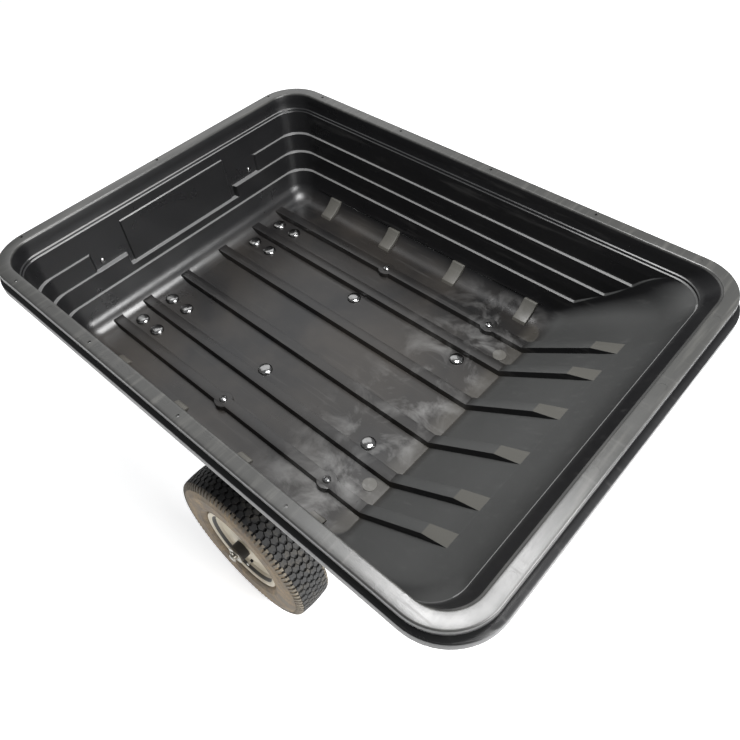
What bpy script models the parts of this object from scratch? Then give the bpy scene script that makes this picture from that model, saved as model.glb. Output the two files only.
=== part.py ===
"""Tow-behind yard cart: a moulded tub that tips back about the axle of a two-wheeled steel chassis.

Metres. +X is forward, towards the hitch, +Y is the cart's left and +Z is up. In the cart's own
frame x is 0 on the axle, y is 0 on the middle plane and z is 0 on the ground.
"""
import math

import bmesh
import bpy
from mathutils import Matrix, Vector

# Clearances
TOUCH_GAP = 0.0003
RUN_GAP = 0.0008
SIDE_PLAY = 0.0010
HOLE_GAP = 0.0006
HOLE_REACH = 0.0200

# Wheels: pneumatic turf tyre on a pressed steel rim
TYRE_RADIUS = 0.2040
TYRE_HALF_WIDTH = 0.0515
TYRE_WALL = 0.0080
TREAD_HALF_WIDTH = 0.0390
TREAD_CROWN = 0.0030
LUG_NOTCH = 0.0040
BEAD_RADIUS = 0.1015
BEAD_HALF_WIDTH = 0.0395
FLANGE_HEIGHT = 0.0120
RIM_SHEET = 0.0030
RIM_WELL_DEPTH = 0.0140
RIM_WELL_HALF = 0.0160
DISC_OUT = 0.0270
HUB_RADIUS = 0.0215
HUB_LENGTH = 0.1080
HUB_WALL = 0.0035
BEARING_LENGTH = 0.0240
BEARING_LIP = 0.0030
VALVE_RADIUS = 0.0042
VALVE_LENGTH = 0.0160
VALVE_REACH = 0.0750
VALVE_ANGLE = math.radians(-92.0)
TRACK_HALF = 0.3940
TYRE_SIDES = 32
RIM_SIDES = 20
ROUND_SIDES = 14
PIN_SIDES = 12

# Axle and what is on it
AXLE_RADIUS = 0.0095
AXLE_TAIL = 0.0100
WASHER_RADIUS = 0.0225
WASHER_THICKNESS = 0.0024
COTTER_WIRE = 0.0016
COTTER_REACH = 0.0150
COTTER_LOOP = 0.0042
SPACER_WALL = 0.0028

# Tub
TUB_LENGTH = 1.2770
TUB_WIDTH = 0.9340
RIM_HEIGHT = 0.7550
AXLE_TO_FRONT = 0.6575
FLOOR_DEPTH = 0.2850
TUB_WALL = 0.0040
RIM_SHELF = 0.0300
RIM_CORNER = 0.1000
RIM_ROUND = 0.0040
SKIRT_BAND = 0.0160
SKIRT_THICKNESS = 0.0120
SKIRT_GROOVE = 0.0070
SKIRT_GROOVE_HEIGHT = 0.0160
LIP_BOTTOM = 0.0500
LIP_OUT = 0.0060
REAR_LIP_OUT = 0.0060
WALL_DRAFT = 0.0600
FOOT_DRAFT = 0.2000
LEDGE_DROP = 0.0400
LEDGE_HEIGHT = 0.0080
LEDGE_WIDTH = 0.0060
REAR_SETBACK = 0.0350
STEP_DROPS = (0.1070, 0.1560, 0.2070)
STEP_WIDTH = 0.0060
STEP_HEIGHT = 0.0030
WALL_CORNER = 0.0580
FLOOR_FILLET = 0.0560
FLOOR_CORNER = 0.0200
LEDGE_REAR_CORNER = 0.1050
FLOOR_REAR_CORNER = 0.0300
FILLET_STEPS = 4
CORNER_STEPS = 5

# Front wall: steps stop short of the middle, and a bare panel stands out between them
OUTER_JOG = 0.2580
INNER_JOG = 0.1710
JOG_RUN = 0.0060
PANEL_HALF_WIDTH = 0.1580
PANEL_TOP = 0.0720
PANEL_BOTTOM = 0.1870
PANEL_RAISE = 0.0030

# Rear ramp, straight and then swept up to the ledge
RAMP_BEND = 0.2635
RAMP_ANGLE = math.radians(35.0)
RAMP_SWEEP_DROP = 0.1250

# Floor ribs and their bosses, and the raised bands on the floor-to-side curve
RIB_PLACES = (0.0640, 0.1865, 0.2765)
RIB_TOP_WIDTH = 0.0250
RIB_FOOT_WIDTH = 0.0310
RIB_HEIGHT = 0.0100
RIB_SINK = 0.0015
RIB_REAR_END = 0.4735
RIB_CHAMFER = 0.0600
RIB_END_WIDTH = 0.0340
BOSS_RADIUS = 0.0180
BAND_COUNT = 4
BAND_PITCH = 0.2155
BAND_FRONT = 0.4510
BAND_WIDTH = 0.0300
BAND_RAISE = 0.0050

# Round-headed bolts, all of one size
BOLT_HEAD_RADIUS = 0.0090
BOLT_HEAD_HEIGHT = 0.0045
BOLT_RADIUS = 0.0038
BOLT_NUT_RADIUS = 0.0072
BOLT_NUT_HEIGHT = 0.0060
BOLT_SIDES = 8

# Axle brackets under the tub
BRACKET_BOLT_REACH = 0.1605
BRACKET_BOLT_INNER = 0.1520
BRACKET_END_MARGIN = 0.0200
BRACKET_SHEET = 0.0030
BRACKET_FLANGE_OUT = 0.0140
BRACKET_FLANGE_IN = 0.0180
BRACKET_SHOULDER = 0.0200
BRACKET_EYE_RADIUS = 0.0280
SLEEVE_WALL = 0.0050
SLEEVE_STAND_OUT = 0.0010
WINDOW_SHARE = 0.45

# Front crossbar, straps and striker
CROSSBAR_X = 0.4925
CROSSBAR_BOLT_SPACING = 0.0580
CROSSBAR_MARGIN = 0.0160
CROSSBAR_HEIGHT = 0.0240
CROSSBAR_SHEET = 0.0030
FRONT_BOLT_INNER = 0.1430
FRONT_BOLT_OUTER = 0.2360
WALL_BOLT_DROP = 0.1400
STRAP_HALF_WIDTH = 0.0150
STRAP_SHEET = 0.0030
STRAP_TAIL = 0.0180
STRIKER_REACH = 0.0280
STRIKER_HALF_WIDTH = 0.0180
STRIKER_SHEET = 0.0040
STRIKER_HEIGHT = 0.0080

# Tongue, braces and hitch, measured along the tongue from the axle
TONGUE_WIDTH = 0.0500
TONGUE_SHEET = 0.0030
TONGUE_TAIL = 0.0300
TONGUE_REACH = 1.0600
TONGUE_RISE = math.radians(3.5)
BRACE_HALF_HEIGHT = 0.0160
BRACE_SHEET = 0.0050
BRACE_TAIL = 0.0200
BRACE_STRAIGHT = 0.0300
BRACE_MEET = 0.3600
BRACE_FOOT = 0.0600
HITCH_STRAP_LENGTH = 0.1800
HITCH_STRAP_LAP = 0.1000
HITCH_STRAP_WIDTH = 0.0460
HITCH_STRAP_SHEET = 0.0060
HITCH_BOLT_SPACING = 0.0500
HITCH_PIN_RADIUS = 0.0079
HITCH_PIN_INSET = 0.0280
HITCH_PIN_TAIL = 0.0100
HITCH_PIN_PLAY = 0.0080
HITCH_COLLAR_RADIUS = 0.0130
HITCH_COLLAR_HEIGHT = 0.0050
HITCH_RING_RADIUS = 0.0220
HITCH_RING_WIRE = 0.0040
HITCH_RING_SIDES = 5
HAIRPIN_WIRE = 0.0014
HAIRPIN_LENGTH = 0.0500

# Latch
STAND_SHEET = 0.0030
STAND_SEAT_HALF = 0.0280
STAND_FOOT_FRONT = 0.1020
STAND_FOOT_RISE = 0.0040
STAND_FOOT_SLOPE = 0.0060
STAND_BOLT_INSET = 0.0250
STAND_BOLT_SPACING = 0.0900
STAND_EAR = 0.0180
LATCH_PIVOT_X = 0.5900
LATCH_PIVOT_Z = 0.3450
LATCH_THICKNESS = 0.0080
LATCH_NOSE_HEIGHT = 0.0080
LATCH_NOSE_LAP = 0.0160
LATCH_ARM_WIDTH = 0.0200
LATCH_ARM_TOP = 0.0350
LATCH_EYE_RADIUS = 0.0160
LATCH_HANDLE_START = 0.0240
LATCH_PIN_RADIUS = 0.0050
LATCH_PIN_HEAD = 0.0090
LATCH_PIN_NUT = 0.0060
LATCH_PIN_TAIL = 0.0030
LATCH_HANDLE_LENGTH = 0.2300
LATCH_HANDLE_RISE = math.radians(22.0)
LATCH_HANDLE_HALF = 0.0070
GRIP_LENGTH = 0.1000
GRIP_WALL = 0.0035
GRIP_ROUND = 1.12
GRIP_TAPER = 0.0060
SPRING_WIRE = 0.0014
SPRING_COIL = 0.0085
SPRING_TURNS = 3
SPRING_PITCH = 0.0045
SPRING_LEG = 0.0300
SPRING_POINTS = 8

# Values that follow from the ones above
RIM_REAR = AXLE_TO_FRONT - TUB_LENGTH
HALF_WIDTH = TUB_WIDTH / 2
FLOOR_Z = RIM_HEIGHT - FLOOR_DEPTH
UNDER_Z = FLOOR_Z - TUB_WALL
AXLE_Z = TYRE_RADIUS
HUB_HALF = HUB_LENGTH / 2
HUB_END = TRACK_HALF + HUB_HALF + BEARING_LIP
HUB_START = TRACK_HALF - HUB_HALF - BEARING_LIP
INNER_WEB = BRACKET_BOLT_INNER + BRACKET_FLANGE_IN
OUTER_WEB = RIB_PLACES[2] - BRACKET_FLANGE_IN
SLEEVE_START = INNER_WEB - BRACKET_SHEET - SLEEVE_STAND_OUT
SLEEVE_END = OUTER_WEB + BRACKET_SHEET + SLEEVE_STAND_OUT
FOOT_TOP = UNDER_Z - TOUCH_GAP
CROSSBAR_TOP = FOOT_TOP - STRAP_SHEET - TOUCH_GAP
SEAT_Z = CROSSBAR_TOP - CROSSBAR_SHEET - TOUCH_GAP
CROSSBAR_HALF = CROSSBAR_BOLT_SPACING / 2 + CROSSBAR_MARGIN
CROSSBAR_FRONT = CROSSBAR_X + CROSSBAR_HALF
STRIKER_TOP = CROSSBAR_TOP - CROSSBAR_HEIGHT + STRIKER_HEIGHT
TONGUE_HALF = TONGUE_WIDTH / 2
STRAP_OUT = TONGUE_HALF + TOUCH_GAP + HITCH_STRAP_SHEET
HITCH_TIP = TONGUE_REACH - HITCH_STRAP_LAP + HITCH_STRAP_LENGTH
HITCH_PIN_U = HITCH_TIP - HITCH_PIN_INSET
CHEEK_IN = TONGUE_HALF + TOUCH_GAP
CHEEK_OUT = CHEEK_IN + STAND_SHEET
FRONT_REACH = HITCH_TIP * math.cos(TONGUE_RISE) + STRAP_OUT * math.sin(TONGUE_RISE)
REAR_REACH = RIM_REAR - LIP_OUT - REAR_LIP_OUT
WALL_BOLT_TILT = math.atan(WALL_DRAFT) - math.pi / 2


def new_material(name, color, roughness, metallic):
    material = bpy.data.materials.new(name)
    material.use_nodes = True
    shader = material.node_tree.nodes["Principled BSDF"]
    shader.inputs["Base Color"].default_value = (*color, 1.0)
    shader.inputs["Roughness"].default_value = roughness
    shader.inputs["Metallic"].default_value = metallic
    return material


def solid(bm):
    """A loose object made from a closed bmesh, with its faces turned outward."""
    bmesh.ops.recalc_face_normals(bm, faces=bm.faces)
    mesh = bpy.data.meshes.new("solid")
    bm.to_mesh(mesh)
    bm.free()
    obj = bpy.data.objects.new("solid", mesh)
    bpy.context.scene.collection.objects.link(obj)
    return obj


def loft(rings, closed=False):
    """Skin rings with equal counts of points. An open loft gets a cap at each end."""
    bm = bmesh.new()
    loops = [[bm.verts.new(point) for point in ring] for ring in rings]
    pairs = list(zip(loops, loops[1:]))
    if closed:
        pairs.append((loops[-1], loops[0]))
    else:
        bm.faces.new(loops[0])
        bm.faces.new(loops[-1])
    for low, high in pairs:
        for i in range(len(low)):
            j = (i + 1) % len(low)
            bm.faces.new((low[i], low[j], high[j], high[i]))
    return solid(bm)


def prism(outline, axis, low, high):
    """Extrude a flat outline along an axis. The outline holds the other two axes, in X, Y, Z order."""
    place = {
        "X": lambda a, b, t: (t, a, b),
        "Y": lambda a, b, t: (a, t, b),
        "Z": lambda a, b, t: (a, b, t),
    }[axis]
    return loft([[place(a, b, t) for a, b in outline] for t in (low, high)])


def box(low, high):
    outline = ((low[0], low[1]), (high[0], low[1]), (high[0], high[1]), (low[0], high[1]))
    return prism(outline, "Z", low[2], high[2])


def circle(radius, sides, center=(0.0, 0.0), start=0.0, sweep=2 * math.pi):
    """Points round a circle, or along an arc of it with both ends."""
    full = abs(sweep - 2 * math.pi) < 1e-9
    count = sides if full else sides + 1
    turns = [start + sweep * i / sides for i in range(count)]
    return [(center[0] + radius * math.cos(a), center[1] + radius * math.sin(a)) for a in turns]


def rod(axis, radius, low, high, center, sides=ROUND_SIDES):
    return prism(circle(radius, sides, center, start=math.pi / sides), axis, low, high)


def lathe(profile, sides, radius_of=None):
    """Turn a closed profile of (radius, y) points about Y."""
    rings = []
    for i in range(sides):
        angle = 2 * math.pi * i / sides
        ring = []
        for k, (radius, y) in enumerate(profile):
            r = radius_of(k, i, radius) if radius_of else radius
            ring.append((r * math.cos(angle), y, r * math.sin(angle)))
        rings.append(ring)
    return loft(rings, closed=True)


def combine(target, tools, operation):
    """Apply one Boolean with all the tools, which may overlap, and remove them."""
    joined = bmesh.new()
    for tool in tools:
        joined.from_mesh(tool.data)
    cutter = solid(joined)
    modifier = target.modifiers.new(operation.lower(), "BOOLEAN")
    modifier.operation = operation
    modifier.solver = "EXACT"
    modifier.use_self = True
    modifier.object = cutter
    bpy.context.view_layer.update()
    evaluated = target.evaluated_get(bpy.context.evaluated_depsgraph_get())
    result = bpy.data.meshes.new_from_object(evaluated)
    target.modifiers.clear()
    target.data = result
    for tool in (cutter, *tools):
        bpy.data.objects.remove(tool)
    return target


def cut(target, *tools):
    return combine(target, tools, "DIFFERENCE")


def fuse(target, *tools):
    return combine(target, tools, "UNION")


def wire(points, radius, resolution=1):
    """A round wire along a smooth run of points, as a closed mesh."""
    curve = bpy.data.curves.new("wire", "CURVE")
    curve.dimensions = "3D"
    curve.bevel_depth = radius
    curve.bevel_resolution = resolution
    curve.use_fill_caps = True
    spline = curve.splines.new("POLY")
    spline.points.add(len(points) - 1)
    for target, point in zip(spline.points, points):
        target.co = (*point, 1.0)
    holder = bpy.data.objects.new("wire", curve)
    bpy.context.scene.collection.objects.link(holder)
    bpy.context.view_layer.update()
    evaluated = holder.evaluated_get(bpy.context.evaluated_depsgraph_get())
    mesh = bpy.data.meshes.new_from_object(evaluated)
    bpy.data.objects.remove(holder)
    bm = bmesh.new()
    bm.from_mesh(mesh)
    bmesh.ops.remove_doubles(bm, verts=bm.verts, dist=1e-6)
    return solid(bm)


def finish(obj, name, material, parent, sharp=math.radians(30.0)):
    """Name a solid, give it its material and hang it on its parent, which holds its joint's axis."""
    obj.name = name
    obj.data.name = name
    obj.data.materials.clear()
    obj.data.materials.append(material)
    obj.data.shade_smooth()
    obj.data.set_sharp_from_angle(angle=sharp)
    obj.parent = parent
    return obj


def from_cart(obj, pivot):
    """Move a mesh built in the cart's frame so that its origin lies on the pivot."""
    obj.data.transform(Matrix.Translation(-Vector(pivot)))
    return obj


def empty(name, parent, location=(0.0, 0.0, 0.0), rise=0.0):
    holder = bpy.data.objects.new(name, None)
    bpy.context.scene.collection.objects.link(holder)
    holder.parent = parent
    holder.location = location
    holder.rotation_euler = (0.0, -rise, 0.0)
    return holder


def thicken(path, thickness):
    """Offset an open path to its right-hand side and close it into an outline."""
    points = [Vector(p) for p in path]
    offset = []
    for i, point in enumerate(points):
        before = (point - points[i - 1]).normalized() if i else None
        after = (points[i + 1] - point).normalized() if i + 1 < len(points) else None
        ahead = after if before is None else before if after is None else (before + after).normalized()
        square = Vector((ahead.y, -ahead.x))
        run = after if before is None else before
        lean = square.dot(Vector((run.y, -run.x)))
        offset.append(point + square * thickness / lean)
    return [tuple(p) for p in points], [tuple(p) for p in offset]


def strip(path, thickness, sides):
    """A bent sheet: a path in X and Z, with its low and high Y at each point."""
    upper, lower = thicken(path, thickness)
    rings = []
    for (ux, uz), (lx, lz), (y0, y1) in zip(upper, lower, sides):
        rings.append(((ux, y0, uz), (ux, y1, uz), (lx, y1, lz), (lx, y0, lz)))
    return loft(rings)


# Tub


def wall_inset(drop):
    """How far the side wall stands in from the rim's outer edge, with the ledge and the steps."""
    inset = RIM_SHELF + WALL_DRAFT * drop
    if drop > LEDGE_DROP:
        inset += LEDGE_WIDTH
    inset += (FOOT_DRAFT - WALL_DRAFT) * max(drop - STEP_DROPS[2], 0.0)
    return inset + STEP_WIDTH * sum(1 for step in STEP_DROPS if drop > step)


def ramp_rear(drop):
    """Where the inside of the rear wall and ramp lies at a depth below the rim."""
    ledge_end = LEDGE_DROP + LEDGE_HEIGHT
    if drop <= ledge_end:
        return RIM_REAR + RIM_SHELF + REAR_SETBACK * min(drop / LEDGE_DROP, 1.0)
    straight = -RAMP_BEND - (FLOOR_DEPTH - drop) / math.tan(RAMP_ANGLE)
    if drop >= RAMP_SWEEP_DROP:
        return straight
    top = RIM_REAR + RIM_SHELF + REAR_SETBACK
    start = -RAMP_BEND - (FLOOR_DEPTH - RAMP_SWEEP_DROP) / math.tan(RAMP_ANGLE)
    span = RAMP_SWEEP_DROP - ledge_end
    share = (RAMP_SWEEP_DROP - drop) / span
    linear = span / math.tan(RAMP_ANGLE)
    return start - linear * share - (start - top - linear) * share ** 2


def ramp_lean(drop):
    """Sideways thickness of a unit wall on the ramp, from the ramp's slope at that depth."""
    step = 0.0005
    run = (ramp_rear(drop + step) - ramp_rear(drop - step)) / (2 * step)
    return math.sqrt(1 + run * run)


def rear_corner(drop):
    """Radius of the rear corners, which widens from the floor up to the ledge."""
    if drop <= LEDGE_DROP:
        plain = RIM_CORNER - RIM_SHELF
        return plain + (LEDGE_REAR_CORNER - plain) * drop / LEDGE_DROP
    up = min((FLOOR_DEPTH - drop) / (FLOOR_DEPTH - LEDGE_DROP), 1.0)
    return FLOOR_REAR_CORNER + (LEDGE_REAR_CORNER - FLOOR_REAR_CORNER) * up ** 2


def fillet_turns():
    """Angles round the floor curve, from the leaning wall down to the floor."""
    lean = math.atan(FOOT_DRAFT)
    return [lean + (math.pi / 2 - lean) * i / FILLET_STEPS for i in range(FILLET_STEPS + 1)]


def floor_inset():
    """How far the floor's flat part stands in from the rim's outer edge."""
    lean = math.atan(FOOT_DRAFT)
    start = FLOOR_DEPTH - FLOOR_FILLET * (1 - math.sin(lean))
    return wall_inset(start) + FLOOR_FILLET * math.cos(lean)


def front_points(front, drop):
    """The front side of a ring from right to left, held back in the middle and raised on the panel."""
    first, second = STEP_DROPS[0], STEP_DROPS[1]
    outer_held = STEP_WIDTH if first < drop < second else 0.0
    inner_held = outer_held
    if second < drop < PANEL_BOTTOM:
        inner_held = 2 * STEP_WIDTH
    raised = PANEL_RAISE if PANEL_TOP < drop < PANEL_BOTTOM else 0.0
    half = [
        (OUTER_JOG + JOG_RUN, 0.0),
        (OUTER_JOG, outer_held),
        (INNER_JOG + JOG_RUN, outer_held),
        (INNER_JOG, inner_held),
        (PANEL_HALF_WIDTH + JOG_RUN / 2, inner_held),
        (PANEL_HALF_WIDTH, inner_held - raised),
    ]
    right = [(front + held, -y) for y, held in half]
    left = [(front + held, y) for y, held in reversed(half)]
    return right + left


def ring(drop, inset, rear, front_corner, back_corner, features):
    """A level round of the tub: rounded rectangle with the front wall's steps and panel in it.

    Features is the depth that the steps and the panel go by.
    """
    front = AXLE_TO_FRONT - inset
    half = HALF_WIDTH - inset
    quarter = math.pi / 2
    corners = (
        (front - front_corner, -half + front_corner, front_corner, -quarter),
        (front - front_corner, half - front_corner, front_corner, 0.0),
        (rear + back_corner, half - back_corner, back_corner, quarter),
        (rear + back_corner, -half + back_corner, back_corner, 2 * quarter),
    )
    arcs = [circle(r, CORNER_STEPS, (x, y), start, quarter) for x, y, r, start in corners]
    flat = arcs[0] + front_points(front, features)
    flat += arcs[1] + arcs[2] + arcs[3]
    return [(x, y, RIM_HEIGHT - drop) for x, y in flat]


def wall_ring(drop, wall=0.0):
    """A round of the inside, or of the outside one wall out and down from it."""
    corner = max(RIM_CORNER - wall_inset(drop), WALL_CORNER) + wall
    depth = drop + wall
    rear = ramp_rear(depth) - wall * ramp_lean(depth)
    return ring(depth, wall_inset(drop) - wall, rear, corner, rear_corner(drop) + wall, drop)


def fillet_ring(turn, wall=0.0):
    """A round of the floor curve, inside or outside."""
    drop = FLOOR_DEPTH - FLOOR_FILLET * (1 - math.sin(turn))
    inset = floor_inset() - (FLOOR_FILLET + wall) * math.cos(turn)
    corner = FLOOR_CORNER + (WALL_CORNER - FLOOR_CORNER) * math.cos(turn) + wall
    depth = drop + wall * math.sin(turn)
    rear = ramp_rear(depth) - wall * ramp_lean(depth)
    return ring(depth, inset, rear, corner, rear_corner(drop) + wall, drop)


def wall_drops():
    """Depths of the rounds between the rim and the floor curve, in pairs at each edge."""
    half = STEP_HEIGHT / 2
    drops = [RIM_ROUND, LEDGE_DROP, LEDGE_DROP + LEDGE_HEIGHT]
    for edge in sorted((PANEL_TOP, PANEL_BOTTOM) + STEP_DROPS):
        drops += [edge - half, edge + half]
    return drops


def rim_ring(drop, inset, rear_out=0.0):
    corner = RIM_CORNER - inset
    return ring(drop, inset, RIM_REAR + inset - rear_out, corner, corner + rear_out, 0.0)


def tub_shell():
    """One closed skin: up the inside, over the rolled rim, down the skirt and back under the floor."""
    groove_top = SKIRT_BAND
    groove_bottom = SKIRT_BAND + SKIRT_GROOVE_HEIGHT
    slope = RIM_ROUND
    inside = [fillet_ring(turn) for turn in reversed(fillet_turns())]
    inside += [wall_ring(drop) for drop in reversed(wall_drops())]
    rim = [
        rim_ring(0.0, RIM_SHELF - RIM_ROUND),
        rim_ring(0.0, RIM_ROUND),
        rim_ring(RIM_ROUND, 0.0),
        rim_ring(groove_top, 0.0),
        rim_ring(groove_top + slope, SKIRT_GROOVE),
        rim_ring(groove_bottom - slope, SKIRT_GROOVE),
        rim_ring(groove_bottom, -LIP_OUT, REAR_LIP_OUT),
        rim_ring(LIP_BOTTOM, -LIP_OUT, REAR_LIP_OUT),
        rim_ring(LIP_BOTTOM, 0.0, REAR_LIP_OUT),
        rim_ring(groove_bottom + slope, SKIRT_THICKNESS),
        rim_ring(TUB_WALL, SKIRT_THICKNESS),
        rim_ring(TUB_WALL, RIM_SHELF - TUB_WALL),
    ]
    outside = [wall_ring(drop, TUB_WALL) for drop in wall_drops()[1:]]
    outside += [fillet_ring(turn, TUB_WALL) for turn in fillet_turns()]
    return loft(inside + rim + outside)


def fillet_height(x):
    """Height of the floor-to-front curve above the floor."""
    run = max(x - AXLE_TO_FRONT + floor_inset(), 0.0)
    return FLOOR_FILLET - math.sqrt(max(FLOOR_FILLET ** 2 - run ** 2, 0.0))


def on_ramp(x, off):
    """Height above the floor of a point off the ramp's face, measured square to it."""
    return (x - RAMP_BEND) * math.tan(RAMP_ANGLE) + off / math.cos(RAMP_ANGLE)


def rib_solid(y, base, top, half_base, half_top, rear, rear_top, half_rear):
    """A bar along the floor and up the ramp, from one offset off the floor to another.

    Its front end lies in the front curve. Over the last stretch its top comes down to rear_top and
    widens to half_rear.
    """
    start = AXLE_TO_FRONT - floor_inset()
    tip = start + math.sqrt(FLOOR_FILLET ** 2 - (FLOOR_FILLET - RIB_HEIGHT) ** 2)
    middle = (start + tip) / 2
    bend = math.tan(RAMP_ANGLE / 2)
    fade = RIB_REAR_END - RIB_CHAMFER
    stations = [
        (tip, fillet_height(tip) + base, tip, top),
        (middle, fillet_height(middle) + base, middle, top),
        (start, base, start, top),
        (base * bend - RAMP_BEND, base, top * bend - RAMP_BEND, top),
        (-fade, on_ramp(fade, base), -fade, on_ramp(fade, top)),
        (-rear, on_ramp(rear, base), -rear, on_ramp(rear, rear_top)),
    ]
    halves = [(half_base, half_top)] * (len(stations) - 1) + [(max(half_base, half_rear), half_rear)]
    rings = []
    for (x_base, z_base, x_top, z_top), (wide, narrow) in zip(stations, halves):
        low = FLOOR_Z + z_base
        high = FLOOR_Z + z_top
        rings.append((
            (x_base, y - wide, low), (x_base, y + wide, low),
            (x_top, y + narrow, high), (x_top, y - narrow, high)))
    return loft(rings)


def fillet_arc(radius, x_or_y):
    """Points round the floor curve from the wall down to the floor, in plan position and Z."""
    center = (x_or_y - floor_inset(), FLOOR_Z + FLOOR_FILLET)
    return [(center[0] + radius * math.cos(t), center[1] - radius * math.sin(t)) for t in fillet_turns()]


def band_solid(x, side):
    """A raised band that follows the floor-to-side curve, one band's height proud of it."""
    proud = fillet_arc(FLOOR_FILLET - BAND_RAISE, HALF_WIDTH)
    sunk = fillet_arc(FLOOR_FILLET + RIB_SINK, HALF_WIDTH)
    top_drop = STEP_DROPS[2] + 2 * STEP_HEIGHT
    top = (HALF_WIDTH - wall_inset(top_drop) + RIB_SINK, RIM_HEIGHT - top_drop)
    toe = (proud[-1][0] - 2 * BAND_RAISE, FLOOR_Z - RIB_SINK)
    outline = [(side * y, z) for y, z in [top] + proud + [toe] + sunk[::-1]]
    return prism(outline, "X", x - BAND_WIDTH / 2, x + BAND_WIDTH / 2)


def floor_bolt_places():
    """Every bolt through the floor: x, y, whether it stands on a rib's boss, and the name it gets."""
    places = []
    for word, side in (("left", 1), ("right", -1)):
        for end, x in (("front", BRACKET_BOLT_REACH), ("rear", -BRACKET_BOLT_REACH)):
            places.append((x, side * BRACKET_BOLT_INNER, False, f"middle_bolt_{word}_{end}"))
            places.append((x, side * RIB_PLACES[2], True, f"boss_bolt_{word}_{end}"))
        for row, y in (("inner", FRONT_BOLT_INNER), ("outer", FRONT_BOLT_OUTER)):
            for end, sign in (("front", 1), ("rear", -1)):
                x = CROSSBAR_X + sign * CROSSBAR_BOLT_SPACING / 2
                places.append((x, side * y, False, f"front_bolt_{word}_{row}_{end}"))
    return places


def bolt_holes(places, low, high):
    return [rod("Z", BOLT_RADIUS + HOLE_GAP, low, high, (x, y), BOLT_SIDES) for x, y, _, _ in places]


def wall_face(drop):
    """X of the front wall beside the panel, where the first step is held back."""
    held = STEP_WIDTH if STEP_DROPS[0] < drop < STEP_DROPS[1] else 0.0
    return AXLE_TO_FRONT - wall_inset(drop) + held


def wall_hole(side):
    """Cutter along a wall bolt, square to the leaning front wall."""
    hole = rod("Z", BOLT_RADIUS + HOLE_GAP, -HOLE_REACH, HOLE_REACH, (0.0, 0.0), BOLT_SIDES)
    place = Vector((wall_face(WALL_BOLT_DROP), side * FRONT_BOLT_OUTER, RIM_HEIGHT - WALL_BOLT_DROP))
    hole.data.transform(Matrix.Translation(place) @ Matrix.Rotation(WALL_BOLT_TILT, 4, "Y"))
    return hole


def build_tub(material, parent):
    tub = tub_shell()
    half_top = RIB_TOP_WIDTH / 2
    half_foot = RIB_FOOT_WIDTH / 2
    rows = [side * y for y in RIB_PLACES for side in (1, -1)]
    ribs = []
    for y in rows:
        ribs.append(rib_solid(
            y, -RIB_SINK, RIB_HEIGHT, half_foot, half_top, RIB_REAR_END, 0.0, RIB_END_WIDTH / 2))
    places = floor_bolt_places()
    bosses = []
    for x, y, on_boss, _ in places:
        if on_boss:
            low = FLOOR_Z - RIB_SINK
            bosses.append(rod("Z", BOSS_RADIUS, low, FLOOR_Z + RIB_HEIGHT - TOUCH_GAP, (x, y)))
    bands = []
    for side in (1, -1):
        for i in range(BAND_COUNT):
            bands.append(band_solid(BAND_FRONT - i * BAND_PITCH, side))
    fuse(tub, *ribs, *bosses, *bands)
    inner_top = half_top - TUB_WALL
    groove_top = RIB_HEIGHT - TUB_WALL
    groove_end = RIB_REAR_END - RIB_CHAMFER / 2
    grooves = []
    for y in rows:
        grooves.append(rib_solid(
            y, -2 * TUB_WALL, groove_top, half_top, inner_top, groove_end, -TUB_WALL, inner_top))
    holes = bolt_holes(places, UNDER_Z - HOLE_REACH, FLOOR_Z + HOLE_REACH)
    cut(tub, *grooves, *holes, wall_hole(1), wall_hole(-1))
    finish(from_cart(tub, (0, 0, AXLE_Z)), "tub", material, parent)


def bolt(head_z, grip, name, material, parent, place, tilt=0.0):
    """A round-headed bolt with its nut. The head's seat is at head_z and the shank runs down."""
    rings = [
        (BOLT_HEAD_RADIUS * 0.6, BOLT_HEAD_HEIGHT),
        (BOLT_HEAD_RADIUS, TOUCH_GAP),
        (BOLT_RADIUS, TOUCH_GAP),
        (BOLT_RADIUS, -grip - TOUCH_GAP),
        (BOLT_NUT_RADIUS, -grip - TOUCH_GAP),
        (BOLT_NUT_RADIUS, -grip - BOLT_NUT_HEIGHT),
    ]
    obj = loft([[(x, y, z) for x, y in circle(r, BOLT_SIDES)] for r, z in rings])
    obj.location = (place[0], place[1], head_z)
    obj.rotation_euler = (0.0, tilt, 0.0)
    return finish(obj, name, material, parent)


def build_bed_bolts(material, parent):
    under_bracket = TUB_WALL + 2 * TOUCH_GAP + BRACKET_SHEET
    under_crossbar = FLOOR_Z - (CROSSBAR_TOP - CROSSBAR_SHEET)
    for x, y, on_boss, name in floor_bolt_places():
        seat = FLOOR_Z + (RIB_HEIGHT if on_boss else 0.0) - AXLE_Z
        grip = under_crossbar if name.startswith("front") else under_bracket
        grip += RIB_HEIGHT if on_boss else 0.0
        bolt(seat, grip, name, material, parent, (x, y))
    face = wall_face(WALL_BOLT_DROP)
    grip = TUB_WALL * (1 + WALL_DRAFT) + STRAP_SHEET + 2 * TOUCH_GAP
    height = RIM_HEIGHT - WALL_BOLT_DROP - AXLE_Z
    for word, side in (("left", 1), ("right", -1)):
        place = (face, side * FRONT_BOLT_OUTER)
        bolt(height, grip, f"wall_bolt_{word}", material, parent, place, WALL_BOLT_TILT)


# Under the tub


def bracket_outline(shrink=0.0):
    """Side view of an axle bracket: wide under the floor, tapering to the eye on the axle."""
    reach = BRACKET_BOLT_REACH + BRACKET_END_MARGIN
    top = UNDER_Z - TOUCH_GAP
    eye = circle(BRACKET_EYE_RADIUS, 8, (0.0, AXLE_Z), math.pi * 1.1, math.pi * 0.8)
    return [(reach, top), (-reach, top), (-reach, top - BRACKET_SHOULDER)] + eye + [
        (reach, top - BRACKET_SHOULDER)]


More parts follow.
